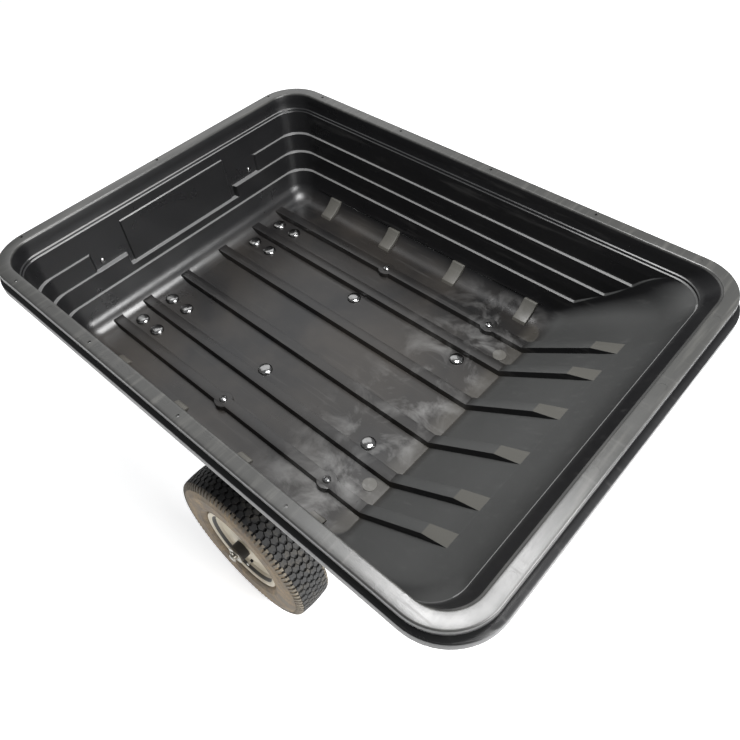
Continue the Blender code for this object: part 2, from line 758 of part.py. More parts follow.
def window_outline():
    """Lightening window in a bracket's web, a smaller copy of its taper."""
    reach = BRACKET_BOLT_REACH * WINDOW_SHARE
    top = UNDER_Z - 2 * BRACKET_SHOULDER
    bottom = AXLE_Z + 2 * BRACKET_EYE_RADIUS
    foot = BRACKET_EYE_RADIUS / 2
    return [(reach, top), (-reach, top), (-foot, bottom), (foot, bottom)]


def build_bracket(word, side, material, parent):
    reach = BRACKET_BOLT_REACH + BRACKET_END_MARGIN
    top = UNDER_Z - TOUCH_GAP
    inner_edge = BRACKET_BOLT_INNER - BRACKET_FLANGE_OUT
    outer_edge = RIB_PLACES[2] + BRACKET_FLANGE_OUT
    low = min(side * SLEEVE_START, side * SLEEVE_END)
    high = max(side * SLEEVE_START, side * SLEEVE_END)
    bracket = rod("Y", AXLE_RADIUS + RUN_GAP + SLEEVE_WALL, low, high, (0.0, AXLE_Z))
    walls = []
    for web, flange_end in ((INNER_WEB, inner_edge), (OUTER_WEB, outer_edge)):
        sheet = BRACKET_SHEET if flange_end > web else -BRACKET_SHEET
        span = sorted((side * web, side * (web + sheet)))
        walls.append(prism(bracket_outline(), "Y", *span))
        ends = sorted((side * (web + sheet / 3), side * flange_end))
        walls.append(box((-reach, ends[0], top - BRACKET_SHEET), (reach, ends[1], top)))
    fuse(bracket, *walls)
    bore = rod("Y", AXLE_RADIUS + RUN_GAP, low - HOLE_REACH, high + HOLE_REACH, (0.0, AXLE_Z))
    window = prism(window_outline(), "Y", low - HOLE_REACH, high + HOLE_REACH)
    places = [p for p in floor_bolt_places() if p[3].startswith(("middle", "boss")) and p[1] * side > 0]
    cut(bracket, bore, window, *bolt_holes(places, top - HOLE_REACH, top + HOLE_REACH))
    finish(from_cart(bracket, (0, 0, AXLE_Z)), f"axle_bracket_{word}", material, parent)


def build_crossbar(material, parent):
    rear = CROSSBAR_X - CROSSBAR_HALF
    low = CROSSBAR_TOP - CROSSBAR_HEIGHT
    sheet = CROSSBAR_SHEET
    outline = (
        (rear, CROSSBAR_TOP), (rear, low), (rear + sheet, low), (rear + sheet, CROSSBAR_TOP - sheet),
        (CROSSBAR_FRONT - sheet, CROSSBAR_TOP - sheet), (CROSSBAR_FRONT - sheet, low),
        (CROSSBAR_FRONT, low), (CROSSBAR_FRONT, CROSSBAR_TOP))
    half = FRONT_BOLT_OUTER + STRAP_HALF_WIDTH
    crossbar = prism(outline, "Y", -half, half)
    places = [p for p in floor_bolt_places() if p[3].startswith("front")]
    cut(crossbar, *bolt_holes(places, CROSSBAR_TOP - HOLE_REACH, CROSSBAR_TOP + HOLE_REACH))
    finish(from_cart(crossbar, (0, 0, AXLE_Z)), "front_crossbar", material, parent)


def strap_path():
    """Inner face of a front strap: flat under the floor, round the curve and up the front wall."""
    arc = fillet_arc(FLOOR_FILLET + TUB_WALL + TOUCH_GAP, AXLE_TO_FRONT)
    path = [(CROSSBAR_X - CROSSBAR_HALF, FOOT_TOP)] + arc[::-1]
    edges = [step - STEP_HEIGHT / 2 for step in (STEP_DROPS[2], STEP_DROPS[1])]
    for drop in edges + [WALL_BOLT_DROP - STRAP_TAIL]:
        path.append((wall_face(drop) + TUB_WALL + TOUCH_GAP, RIM_HEIGHT - drop - TUB_WALL))
    return path


def build_strap(word, side, material, parent):
    path = strap_path()
    edge = side * (FRONT_BOLT_OUTER + STRAP_HALF_WIDTH)
    narrow = sorted((side * (FRONT_BOLT_OUTER - STRAP_HALF_WIDTH), edge))
    wide = sorted((side * (FRONT_BOLT_INNER - STRAP_HALF_WIDTH), edge))
    sides = [wide, wide] + [narrow] * (len(path) - 2)
    strap = strip(path, STRAP_SHEET, sides)
    places = [p for p in floor_bolt_places() if p[3].startswith("front") and p[1] * side > 0]
    cut(strap, wall_hole(side), *bolt_holes(places, FOOT_TOP - HOLE_REACH, FOOT_TOP + HOLE_REACH))
    finish(from_cart(strap, (0, 0, AXLE_Z)), f"front_strap_{word}", material, parent)


def build_striker(material, parent):
    """Angle plate on the crossbar's front flange. The latch hooks over its lower leg."""
    face = CROSSBAR_FRONT + TOUCH_GAP
    low = STRIKER_TOP - STRIKER_SHEET
    path = [(CROSSBAR_FRONT + STRIKER_REACH, low), (face, low), (face, CROSSBAR_TOP)]
    sides = [(-STRIKER_HALF_WIDTH, STRIKER_HALF_WIDTH)] * len(path)
    striker = strip(path, STRIKER_SHEET, sides)
    finish(from_cart(striker, (0, 0, AXLE_Z)), "latch_striker", material, parent)


# Wheels


def tyre_profile():
    """Tyre section, from the outer bead over the tread to the inner bead and back inside the casing."""
    tip = BEAD_RADIUS + FLANGE_HEIGHT
    bead_y = BEAD_HALF_WIDTH - RIM_SHEET / 2 - TOUCH_GAP
    mid = (BEAD_RADIUS + TYRE_RADIUS) / 2
    edge = TYRE_RADIUS - TREAD_CROWN
    half = [
        (BEAD_RADIUS + TOUCH_GAP * 4, bead_y),
        (tip + RIM_SHEET, bead_y),
        (tip + 2 * RIM_SHEET, TYRE_HALF_WIDTH * 0.86),
        (mid, TYRE_HALF_WIDTH),
        (edge - 3 * LUG_NOTCH, TYRE_HALF_WIDTH * 0.93),
        (edge, TREAD_HALF_WIDTH),
        (TYRE_RADIUS, TREAD_HALF_WIDTH * 0.4),
    ]
    inner = [
        (BEAD_RADIUS + TOUCH_GAP * 4, bead_y - TYRE_WALL),
        (tip + RIM_SHEET, bead_y - TYRE_WALL),
        (mid, TYRE_HALF_WIDTH - TYRE_WALL),
        (edge - 2 * TYRE_WALL, TREAD_HALF_WIDTH - TYRE_WALL),
    ]
    outer_side = half + [(r, -y) for r, y in reversed(half)]
    return outer_side + [(r, -y) for r, y in inner] + [(r, y) for r, y in reversed(inner)]


def lug_radius(k, i, radius):
    """Every second station dips at the tread's edges, which leaves a row of shoulder lugs."""
    edges = (5, 8)
    return radius - LUG_NOTCH if k in edges and i % 2 else radius


def rim_profile():
    """Pressed rim, disc and hub tube in one section. The disc stands in the outer bead seat."""
    tip = BEAD_RADIUS + FLANGE_HEIGHT
    out = BEAD_HALF_WIDTH
    sheet = RIM_SHEET
    well = BEAD_RADIUS - RIM_WELL_DEPTH
    inside = BEAD_RADIUS - sheet
    bore = HUB_RADIUS - HUB_WALL
    seat = RIM_WELL_HALF + RIM_WELL_DEPTH / 2
    face = DISC_OUT + sheet
    return [
        (tip, out + sheet), (tip, out), (BEAD_RADIUS, out - sheet / 2), (BEAD_RADIUS, seat),
        (well, RIM_WELL_HALF), (well, -RIM_WELL_HALF), (BEAD_RADIUS, -seat),
        (BEAD_RADIUS, -out + sheet / 2), (tip, -out), (tip, -out - sheet),
        (inside, -out - sheet / 2), (inside, -seat), (well - sheet, -RIM_WELL_HALF),
        (well - sheet, RIM_WELL_HALF), (inside, seat), (inside, DISC_OUT),
        (HUB_RADIUS, DISC_OUT), (HUB_RADIUS, -HUB_HALF), (bore, -HUB_HALF),
        (bore, HUB_HALF), (HUB_RADIUS, HUB_HALF), (HUB_RADIUS, face),
        (inside, face), (inside, out + sheet / 2),
    ]


def bearing_profile():
    """Flanged plain bearing: a lip against the hub's end and a sleeve inside it."""
    bore = AXLE_RADIUS + RUN_GAP
    outer = HUB_RADIUS - HUB_WALL - 2 * TOUCH_GAP
    lip = BEARING_LIP - TOUCH_GAP
    return [
        (bore, lip), (HUB_RADIUS, lip), (HUB_RADIUS, 0.0), (outer, 0.0),
        (outer, -BEARING_LENGTH), (bore, -BEARING_LENGTH)]


def build_wheel(word, side, materials, parent):
    flip = [(r, side * y) for r, y in tyre_profile()]
    finish(lathe(flip, TYRE_SIDES, lug_radius), f"tyre_{word}", materials["tyre"], parent)
    profile = [(r, side * y) for r, y in rim_profile()]
    finish(lathe(profile, RIM_SIDES), f"wheel_rim_{word}", materials["rim"], parent)
    for end, sign in (("outer", side), ("inner", -side)):
        profile = [(r, sign * y) for r, y in bearing_profile()]
        bearing = lathe(profile, ROUND_SIDES)
        bearing.location = (0.0, sign * (HUB_HALF + TOUCH_GAP), 0.0)
        finish(bearing, f"hub_bearing_{word}_{end}", materials["bearing"], parent)
    face = DISC_OUT + RIM_SHEET + TOUCH_GAP
    center = (VALVE_REACH * math.cos(VALVE_ANGLE), VALVE_REACH * math.sin(VALVE_ANGLE))
    steps = ((VALVE_RADIUS, 0.0), (VALVE_RADIUS, VALVE_LENGTH / 2), (VALVE_RADIUS * 0.7, VALVE_LENGTH))
    rings = [[(x, side * (face + y), z) for x, z in circle(r, BOLT_SIDES, center)] for r, y in steps]
    finish(loft(rings), f"valve_stem_{word}", materials["rubber"], parent)


# Chassis


def build_axle(material, parent):
    end = HUB_END + WASHER_THICKNESS + 2 * TOUCH_GAP + AXLE_TAIL
    axle = rod("Y", AXLE_RADIUS, -end, end, (0.0, AXLE_Z))
    y = end - AXLE_TAIL / 2
    hole = COTTER_WIRE + 2 * TOUCH_GAP
    cut(axle, *[rod("Z", hole, 0.0, 2 * AXLE_Z, (0.0, s * y), BOLT_SIDES) for s in (1, -1)])
    finish(from_cart(axle, (0, 0, AXLE_Z)), "axle", material, parent)


def build_axle_fittings(word, side, materials, parent):
    start = SLEEVE_END + SIDE_PLAY
    stop = HUB_START - SIDE_PLAY
    bore = AXLE_RADIUS + HOLE_GAP
    tube = [(bore, start), (bore + SPACER_WALL, start), (bore + SPACER_WALL, stop), (bore, stop)]
    spacer = lathe([(r, side * y) for r, y in tube], ROUND_SIDES)
    finish(spacer, f"axle_spacer_{word}", materials["zinc"], parent)
    face = HUB_END + TOUCH_GAP
    back = face + WASHER_THICKNESS
    disc = [(bore, face), (WASHER_RADIUS, face), (WASHER_RADIUS, back), (bore, back)]
    washer = lathe([(r, side * y) for r, y in disc], ROUND_SIDES)
    finish(washer, f"axle_washer_{word}", materials["zinc"], parent)
    y = side * (HUB_END + WASHER_THICKNESS + 2 * TOUCH_GAP + AXLE_TAIL / 2)
    top = COTTER_REACH
    turns = [math.pi * (1.6 - 0.2 * k) for k in range(9)]
    loop = [(COTTER_LOOP * math.sin(a), y, top + COTTER_LOOP * (1 - math.cos(a))) for a in turns]
    points = loop + [(0.0, y, -top), (-COTTER_LOOP, y, -top - COTTER_LOOP)]
    finish(wire(points, COTTER_WIRE), f"axle_cotter_{word}", materials["zinc"], parent)


def rounded_bar(start, end, half):
    """Outline of a flat bar along the tongue whose far end is rounded."""
    arc = circle(half, 8, (end - half, 0.0), -math.pi / 2, math.pi)
    return [(start, half), (start, -half)] + arc


def build_tongue(materials, parent):
    half = TONGUE_HALF
    inner = half - TONGUE_SHEET
    tongue = box((-TONGUE_TAIL, -half, -half), (TONGUE_REACH, half, half))
    hollow = box((-2 * TONGUE_TAIL, -inner, -inner), (TONGUE_REACH + TONGUE_TAIL, inner, inner))
    reach = 2 * TONGUE_WIDTH
    hole = BOLT_RADIUS + HOLE_GAP
    bore = rod("Y", AXLE_RADIUS + HOLE_GAP, -reach, reach, (0.0, 0.0))
    cross = [rod("Y", hole, -reach, reach, (u, 0.0), BOLT_SIDES) for u in cross_bolt_places()]
    upright = [rod("Z", hole, -reach, reach, (u, 0.0), BOLT_SIDES) for u in hitch_bolt_places()]
    cut(tongue, hollow, bore, *cross, *upright)
    finish(tongue, "tongue", materials["steel"], parent)


def cross_bolt_places():
    """Distances along the tongue of the bolts that run across it."""
    first = (CROSSBAR_X - STAND_SEAT_HALF + STAND_BOLT_INSET) / math.cos(TONGUE_RISE)
    return [BRACE_MEET + BRACE_FOOT / 2, first, first + STAND_BOLT_SPACING]


def hitch_bolt_places():
    middle = TONGUE_REACH - HITCH_STRAP_LAP / 2
    return [middle - HITCH_BOLT_SPACING / 2, middle + HITCH_BOLT_SPACING / 2]


def build_brace(word, side, materials, parent):
    outer = SLEEVE_START - SIDE_PLAY
    inner = TONGUE_HALF + TOUCH_GAP + BRACE_SHEET
    path = [
        (-BRACE_TAIL, outer), (BRACE_STRAIGHT, outer),
        (BRACE_MEET, inner), (BRACE_MEET + BRACE_FOOT, inner)]
    near, far = thicken(path, BRACE_SHEET)
    outline = [(u, side * y) for u, y in near + far[::-1]]
    brace = prism(outline, "Z", -BRACE_HALF_HEIGHT, BRACE_HALF_HEIGHT)
    bore = rod("Y", AXLE_RADIUS + HOLE_GAP, -TRACK_HALF, TRACK_HALF, (0.0, 0.0))
    place = (cross_bolt_places()[0], 0.0)
    hole = rod("Y", BOLT_RADIUS + HOLE_GAP, -TRACK_HALF, TRACK_HALF, place, BOLT_SIDES)
    cut(brace, bore, hole)
    finish(brace, f"tongue_brace_{word}", materials["steel"], parent)


def build_hitch(materials, parent):
    start = TONGUE_REACH - HITCH_STRAP_LAP
    for word, side in (("upper", 1), ("lower", -1)):
        span = sorted((side * (TONGUE_HALF + TOUCH_GAP), side * STRAP_OUT))
        strap = prism(rounded_bar(start, HITCH_TIP, HITCH_STRAP_WIDTH / 2), "Z", *span)
        places = [(u, 0.0, False, "") for u in hitch_bolt_places()]
        reach = 2 * STRAP_OUT
        pin_hole = rod("Z", HITCH_PIN_RADIUS + HOLE_GAP, -reach, reach, (HITCH_PIN_U, 0.0))
        cut(strap, pin_hole, *bolt_holes(places, -reach, reach))
        finish(strap, f"hitch_strap_{word}", materials["steel"], parent)
    for word, u in zip(("rear", "front"), hitch_bolt_places()):
        bolt(STRAP_OUT, 2 * STRAP_OUT, f"hitch_bolt_{word}", materials["zinc"], parent, (u, 0.0))


def build_cross_bolts(materials, parent):
    names = ("brace_bolt", "stand_bolt_rear", "stand_bolt_front")
    widths = (TONGUE_HALF + TOUCH_GAP + BRACE_SHEET, CHEEK_OUT, CHEEK_OUT)
    for name, u, reach in zip(names, cross_bolt_places(), widths):
        obj = bolt(0.0, 2 * reach, name, materials["zinc"], parent, (u, 0.0))
        obj.location = (u, reach, 0.0)
        obj.rotation_euler = (-math.pi / 2, 0.0, 0.0)


def build_hitch_pin(materials, parent):
    """Pin with a collar and a ring on top, and the hair cotter through its lower end."""
    low = -STRAP_OUT - HITCH_PIN_PLAY - 2 * HAIRPIN_WIRE - HITCH_PIN_TAIL
    top = STRAP_OUT + TOUCH_GAP
    collar_top = top + HITCH_COLLAR_HEIGHT
    stem = HITCH_PIN_RADIUS * 0.8
    stem_top = collar_top + 2 * HITCH_COLLAR_HEIGHT
    pin = loft([[(x, y, z) for x, y in circle(r, ROUND_SIDES)] for r, z in (
        (HITCH_PIN_RADIUS * 0.6, low), (HITCH_PIN_RADIUS, low + HITCH_PIN_RADIUS / 2),
        (HITCH_PIN_RADIUS, top), (HITCH_COLLAR_RADIUS, top), (HITCH_COLLAR_RADIUS, collar_top),
        (stem, collar_top), (stem, stem_top))])
    hub = collar_top + HITCH_COLLAR_HEIGHT + HITCH_RING_RADIUS
    rings = []
    for y, z in circle(1.0, ROUND_SIDES, start=math.pi / (2 * ROUND_SIDES)):
        spoke = Vector((0.0, y, z))
        section = circle(HITCH_RING_WIRE, HITCH_RING_SIDES)
        rings.append([Vector((x, 0.0, hub)) + spoke * (HITCH_RING_RADIUS + away) for x, away in section])
    fuse(pin, loft(rings, closed=True))
    wire_z = -STRAP_OUT - HITCH_PIN_PLAY - HAIRPIN_WIRE - 2 * TOUCH_GAP
    back = HAIRPIN_LENGTH / 2
    cut(pin, rod("Y", HAIRPIN_WIRE + HOLE_GAP, -back, back, (0.0, wire_z), BOLT_SIDES))
    finish(pin, "hitch_pin", materials["zinc"], parent)
    around = HITCH_PIN_RADIUS + HAIRPIN_WIRE + RUN_GAP
    turns = [math.pi * k / 6 for k in range(1, 7)]
    bend = [(around / 2 * (1 - math.cos(a)), back + around / 2 * math.sin(a)) for a in turns]
    hump = [(around * 1.25, back / 2), (around * 1.25, 0.0), (around, -back * 0.4)]
    flat = [(0.0, -back * 0.7), (0.0, back)] + bend + hump + [(around * 1.2, -back * 0.6)]
    points = [(x, y, wire_z) for x, y in flat]
    finish(wire(points, HAIRPIN_WIRE), "hair_cotter", materials["zinc"], parent)


# Latch


def tongue_height(x):
    return AXLE_Z + x * math.tan(TONGUE_RISE)


def build_stand(materials, parent):
    """Folded stand that straddles the tongue, carries the crossbar and holds the latch's pivot."""
    rear = CROSSBAR_X - STAND_SEAT_HALF
    seat_front = CROSSBAR_X + STAND_SEAT_HALF
    front = seat_front + STAND_FOOT_FRONT
    ear = STAND_EAR
    foot = tongue_height(CROSSBAR_X) - TONGUE_HALF + STAND_FOOT_RISE
    outline = [
        (rear, foot), (front, foot + STAND_FOOT_SLOPE), (front, LATCH_PIVOT_Z - 2 * ear),
        (LATCH_PIVOT_X + ear, LATCH_PIVOT_Z), (LATCH_PIVOT_X + ear / 2, LATCH_PIVOT_Z + ear),
        (LATCH_PIVOT_X - ear, LATCH_PIVOT_Z + ear), (seat_front, SEAT_Z - 2 * ear),
        (seat_front, SEAT_Z), (rear, SEAT_Z)]
    stand = prism(outline, "Y", -CHEEK_OUT, CHEEK_OUT)
    ceiling = SEAT_Z - STAND_SHEET
    reach = 2 * CHEEK_OUT
    inside = box((rear - reach, -CHEEK_IN, 0.0), (front + reach, CHEEK_IN, ceiling))
    pivot_place = (LATCH_PIVOT_X, LATCH_PIVOT_Z)
    pivot = rod("Y", LATCH_PIN_RADIUS + HOLE_GAP, -reach, reach, pivot_place, PIN_SIDES)
    holes = []
    for u in cross_bolt_places()[1:]:
        center = (u * math.cos(TONGUE_RISE), AXLE_Z + u * math.sin(TONGUE_RISE))
        holes.append(rod("Y", BOLT_RADIUS + HOLE_GAP * 1.5, -reach, reach, center, BOLT_SIDES))
    cut(stand, inside, pivot, *holes)
    finish(from_cart(stand, (0, 0, AXLE_Z)), "latch_stand", materials["steel"], parent)


def build_pivot_bolt(materials, parent):
    reach = CHEEK_OUT + TOUCH_GAP
    shank = LATCH_PIN_RADIUS
    head = LATCH_PIN_HEAD
    nut_end = -reach - LATCH_PIN_NUT
    profile = [
        (shank, reach + head / 2), (head, reach + head / 3), (head, reach),
        (shank, reach), (shank, -reach), (head, -reach), (head, nut_end),
        (shank, nut_end), (shank, nut_end - LATCH_PIN_TAIL)]
    center = (LATCH_PIVOT_X, LATCH_PIVOT_Z - AXLE_Z)
    rings = [[(x, y, z) for x, z in circle(r, PIN_SIDES, center)] for r, y in profile]
    finish(loft(rings), "latch_pivot_bolt", materials["zinc"], parent)


def lever_outline():
    """Side view of the latch lever about its pivot: hook, arm, eye and handle."""
    under_nose = STRIKER_TOP + SIDE_PLAY - LATCH_PIVOT_Z
    arm_rear = CROSSBAR_FRONT + STRIKER_REACH + 2 * SIDE_PLAY - LATCH_PIVOT_X
    tip = arm_rear - 2 * SIDE_PLAY - LATCH_NOSE_LAP
    along = Vector((math.cos(LATCH_HANDLE_RISE), math.sin(LATCH_HANDLE_RISE)))
    square = Vector((-along.y, along.x)) * LATCH_HANDLE_HALF
    end = along * LATCH_HANDLE_LENGTH
    eye = circle(LATCH_EYE_RADIUS, 6, (0.0, 0.0), math.pi * 0.9, math.pi * 0.75)
    start = along * LATCH_HANDLE_START
    nose_top = under_nose + LATCH_NOSE_HEIGHT
    points = [(tip, under_nose), (arm_rear, under_nose)] + eye
    points += [tuple(start - square), tuple(end - square), tuple(end + square), tuple(start + square)]
    return points + [
        (arm_rear + LATCH_ARM_WIDTH, LATCH_ARM_TOP), (arm_rear + LATCH_ARM_WIDTH * 0.8, under_nose),
        (arm_rear + LATCH_ARM_WIDTH * 0.4, nose_top), (arm_rear, nose_top),
        (tip, under_nose + LATCH_NOSE_HEIGHT * 0.35)]


def build_latch(materials, parent):
    half = LATCH_THICKNESS / 2
    lever = prism(lever_outline(), "Y", -half, half)
    cut(lever, rod("Y", LATCH_PIN_RADIUS + RUN_GAP, -2 * half, 2 * half, (0.0, 0.0), PIN_SIDES))
    finish(lever, "latch_lever", materials["steel"], parent)
    start = LATCH_HANDLE_LENGTH - GRIP_LENGTH
    end = LATCH_HANDLE_LENGTH + GRIP_WALL
    across = (half + GRIP_WALL) * GRIP_ROUND
    height = (LATCH_HANDLE_HALF + GRIP_WALL) * GRIP_ROUND
    around = circle(1.0, PIN_SIDES, start=math.pi / PIN_SIDES)
    rings = []
    for x, share in ((start, 0.85), (start + GRIP_TAPER, 1.0), (end - GRIP_TAPER, 1.0), (end, 0.8)):
        rings.append([(x, y * across * share, z * height * share) for y, z in around])
    grip = loft(rings)
    slot = box((start - GRIP_TAPER, -half - TOUCH_GAP, -LATCH_HANDLE_HALF - TOUCH_GAP),
               (LATCH_HANDLE_LENGTH + TOUCH_GAP, half + TOUCH_GAP, LATCH_HANDLE_HALF + TOUCH_GAP))
    cut(grip, slot)
    grip.rotation_euler = (0.0, -LATCH_HANDLE_RISE, 0.0)
    finish(grip, "latch_grip", materials["rubber"], parent)
    first = half + SPRING_WIRE + SIDE_PLAY
    points = [(SPRING_COIL, first, SPRING_LEG)]
    for k in range(SPRING_TURNS * SPRING_POINTS + 1):
        angle = 2 * math.pi * k / SPRING_POINTS
        y = first + SPRING_PITCH * k / SPRING_POINTS
        points.append((SPRING_COIL * math.cos(angle), y, -SPRING_COIL * math.sin(angle)))
    last = points[-1]
    points.append((last[0], last[1], -SPRING_LEG * 0.6))
    finish(wire(points, SPRING_WIRE, resolution=0), "latch_spring", materials["zinc"], parent)


def main():
    for obj in list(bpy.data.objects):
        bpy.data.objects.remove(obj)
    materials = {
        "poly": new_material("black_moulded_plastic", (0.035, 0.035, 0.034), 0.38, 0.0),
        "steel": new_material("black_painted_steel", (0.020, 0.020, 0.021), 0.42, 0.3),
        "zinc": new_material("bright_zinc", (0.72, 0.72, 0.70), 0.28, 0.9),
        "rim": new_material("cream_painted_steel", (0.50, 0.46, 0.38), 0.45, 0.1),
        "tyre": new_material("dusty_tyre_rubber", (0.060, 0.055, 0.048), 0.85, 0.0),
        "bearing": new_material("grey_bearing_plastic", (0.10, 0.10, 0.10), 0.5, 0.0),
        "rubber": new_material("black_rubber", (0.025, 0.025, 0.025), 0.7, 0.0),
    }
    shift = -(FRONT_REACH + REAR_REACH) / 2
    cart = empty("cart", None, (shift, 0.0, 0.0))
    bed = empty("bed_on_axle", cart, (0.0, 0.0, AXLE_Z))
    chassis = empty("chassis_at_axle", cart, (0.0, 0.0, AXLE_Z))
    tongue = empty("tongue_line", cart, (0.0, 0.0, AXLE_Z), rise=TONGUE_RISE)
    latch = empty("latch_on_pivot", cart, (LATCH_PIVOT_X, 0.0, LATCH_PIVOT_Z))
    pin = empty("pin_in_hitch", tongue, (HITCH_PIN_U, 0.0, 0.0))
    build_tub(materials["poly"], bed)
    build_bed_bolts(materials["zinc"], bed)
    build_crossbar(materials["steel"], bed)
    build_striker(materials["steel"], bed)
    build_axle(materials["zinc"], chassis)
    build_stand(materials, chassis)
    build_pivot_bolt(materials, chassis)
    build_tongue(materials, tongue)
    build_hitch(materials, tongue)
    build_cross_bolts(materials, tongue)
    build_hitch_pin(materials, pin)
    build_latch(materials, latch)
    for word, side in (("left", 1), ("right", -1)):
        wheel = empty(f"wheel_{word}_hub", cart, (0.0, side * TRACK_HALF, AXLE_Z))
        build_bracket(word, side, materials["steel"], bed)
        build_strap(word, side, materials["steel"], bed)
        build_axle_fittings(word, side, materials, chassis)
        build_brace(word, side, materials, tongue)
        build_wheel(word, side, materials, wheel)


main()
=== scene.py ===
import math

import bmesh
import bpy
from mathutils import Matrix, Vector


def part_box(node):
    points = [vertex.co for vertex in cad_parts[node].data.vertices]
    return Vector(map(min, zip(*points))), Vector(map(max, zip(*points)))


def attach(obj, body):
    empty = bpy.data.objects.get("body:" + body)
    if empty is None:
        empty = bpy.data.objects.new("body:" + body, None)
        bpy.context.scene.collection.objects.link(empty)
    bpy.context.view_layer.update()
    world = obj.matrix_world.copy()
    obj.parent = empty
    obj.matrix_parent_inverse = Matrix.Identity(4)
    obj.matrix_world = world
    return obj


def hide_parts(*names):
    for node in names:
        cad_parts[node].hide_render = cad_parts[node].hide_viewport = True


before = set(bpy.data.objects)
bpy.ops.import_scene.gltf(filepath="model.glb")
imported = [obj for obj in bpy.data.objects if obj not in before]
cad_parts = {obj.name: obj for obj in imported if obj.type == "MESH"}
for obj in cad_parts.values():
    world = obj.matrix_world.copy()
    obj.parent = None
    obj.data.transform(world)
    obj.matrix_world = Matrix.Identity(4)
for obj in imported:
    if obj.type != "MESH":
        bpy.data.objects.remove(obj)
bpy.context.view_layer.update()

QUARTER = math.pi / 2

# Places in the cart's own frame, in metres, where x is 0 on the axle
AXLE_X = -0.2541423
AXLE_Z = 0.2040
TRACK_HALF = 0.3940
HUB_END = 0.4510
AXLE_RADIUS = 0.0095
AXLE_TAIL = 0.0106
AXLE_CHAMFER = 0.0014
WASHER_THICKNESS = 0.0024
WASHER_RADIUS = 0.0225
WASHER_BEVEL = 0.0004
SPACER_RADIUS = 0.0128
RUN_GAP = 0.0003
COTTER_WIRE = 0.0016
COTTER_LOOP = 0.0042
COTTER_REACH = 0.0150
COTTER_OUT = 0.0056
AXLE_CLEARANCE = 0.0006

# Tub: rim, walls, corners and ramp
RIM_REAR = -0.6195
AXLE_TO_FRONT = 0.6575
HALF_WIDTH = 0.4670
RIM_HEIGHT = 0.7550
FLOOR_DEPTH = 0.2850
FLOOR_Z = RIM_HEIGHT - FLOOR_DEPTH
TUB_WALL = 0.0040
RIM_SHELF = 0.0300
RIM_CORNER = 0.1000
RIM_ROUND = 0.0040
WALL_DRAFT = 0.0600
FOOT_DRAFT = 0.2000
LEDGE_DROP = 0.0400
LEDGE_HEIGHT = 0.0080
LEDGE_WIDTH = 0.0030
LEDGE_TOP = 0.0405
LEDGE_FOOT = 0.0468
REAR_SETBACK = 0.0350
STEP_DROPS = (0.1070, 0.1560, 0.2070)
STEP_WIDTH = 0.0060
STEP_HEIGHT = 0.0022
WALL_CORNER = 0.0580
FLOOR_FILLET = 0.0560
FLOOR_CORNER = 0.0200
LEDGE_REAR_CORNER = 0.0720
RAMP_REAR_CORNER = 0.1050
FLOOR_REAR_CORNER = 0.0300
CORNER_BLEND = 0.0500
OUTER_JOG = 0.2580
INNER_JOG = 0.1710
JOG_RUN = 0.0060
PANEL_HALF_WIDTH = 0.1580
PANEL_TOP = 0.0720
PANEL_BOTTOM = 0.1870
PANEL_RAISE = 0.0030
RAMP_BEND = 0.2635
RAMP_ANGLE = math.radians(35.0)
RAMP_SWEEP_DROP = 0.1650
FILLET_STEPS = 16
CORNER_STEPS = 16

# Section of the rim from the end of its outer round, as (depth, inset, reach to the rear):
# groove, lower lip and the inside
RIM_SECTION = (
    (0.0145, 0.0, 0.0), (0.0160, 0.0005, 0.0), (0.0190, 0.0062, 0.0), (0.0202, 0.0070, 0.0),
    (0.0272, 0.0070, 0.0), (0.0285, 0.0062, 0.0), (0.0300, 0.0010, 0.003),
    (0.0312, -0.0040, 0.005), (0.0326, -0.0056, 0.006), (0.0345, -0.0060, 0.006),
    (0.0485, -0.0060, 0.006), (0.0497, -0.0054, 0.006), (0.0500, -0.0040, 0.006),
    (0.0500, 0.0, 0.006), (0.0360, 0.0120, 0.0), (TUB_WALL, 0.0120, 0.0),
    (TUB_WALL, RIM_SHELF - TUB_WALL, 0.0),
)

# Depths of the rounds that lie between the edges, and how finely each edge is cut
RIM_INNER_DROP = 0.0200
UPPER_DROPS = tuple(0.0515 + 0.0057 * k for k in range(21))
LOWER_DROPS = (0.1760, 0.1960, 0.2180, 0.2290)
FINE_SHARES = (0.0, 0.12, 0.24, 0.37, 0.5, 0.63, 0.76, 0.88, 1.0)
COARSE_SHARES = (0.0, 0.5, 1.0)

# Faces on a ledge or step that face up at least this much get a lighter plastic as a painted
# highlight
LINE_SIDE_MARGIN = 0.0800
LEDGE_LINE_UP = 0.80
PANEL_LINE_UP = 0.75
STEP_LINE_UP = 0.92
STEP_LINE_FORWARD = 0.20

# Ribs, bosses, bands, discs, marks and holes of the tub
RIB_PLACES = (0.0640, 0.1865, 0.2765)
RIB_HEIGHT = 0.0130
RIB_FOOT_HALF = 0.0155
RIB_TOP_HALF = 0.0125
RIB_END_HALF = 0.0170
RIB_SINK = 0.0015
RIB_REAR_END = 0.4735
RIB_CHAMFER = 0.0600
RIB_END_RISE = 0.0010
RIB_BEVEL = 0.0011
HOLLOW_FOOT_HALF = 0.0125
HOLLOW_TOP_HALF = 0.0085
BAND_COUNT = 4
BAND_FRONT = 0.4420
BAND_PITCH = 0.2145
BAND_WIDTH = 0.0355
BAND_RAISE = 0.0100
BAND_END_RAISE = 0.0050
BAND_TOP_STEP = 2
BAND_BEVEL = 0.0019
BOSS_RADIUS = 0.0215
BOSS_STEP = 0.0003
BOSS_BEVEL = 0.0014
DISC_RADIUS = 0.0160
DISC_RAISE = 0.0012
DISC_SINK = 0.0020
DISC_BEVEL = 0.0008
DISC_PLACE = (-0.2285, 0.2240)
MARK_RADIUS = 0.0075
MARK_DEPTH = 0.0003
MARK_CLEAR = 0.0020
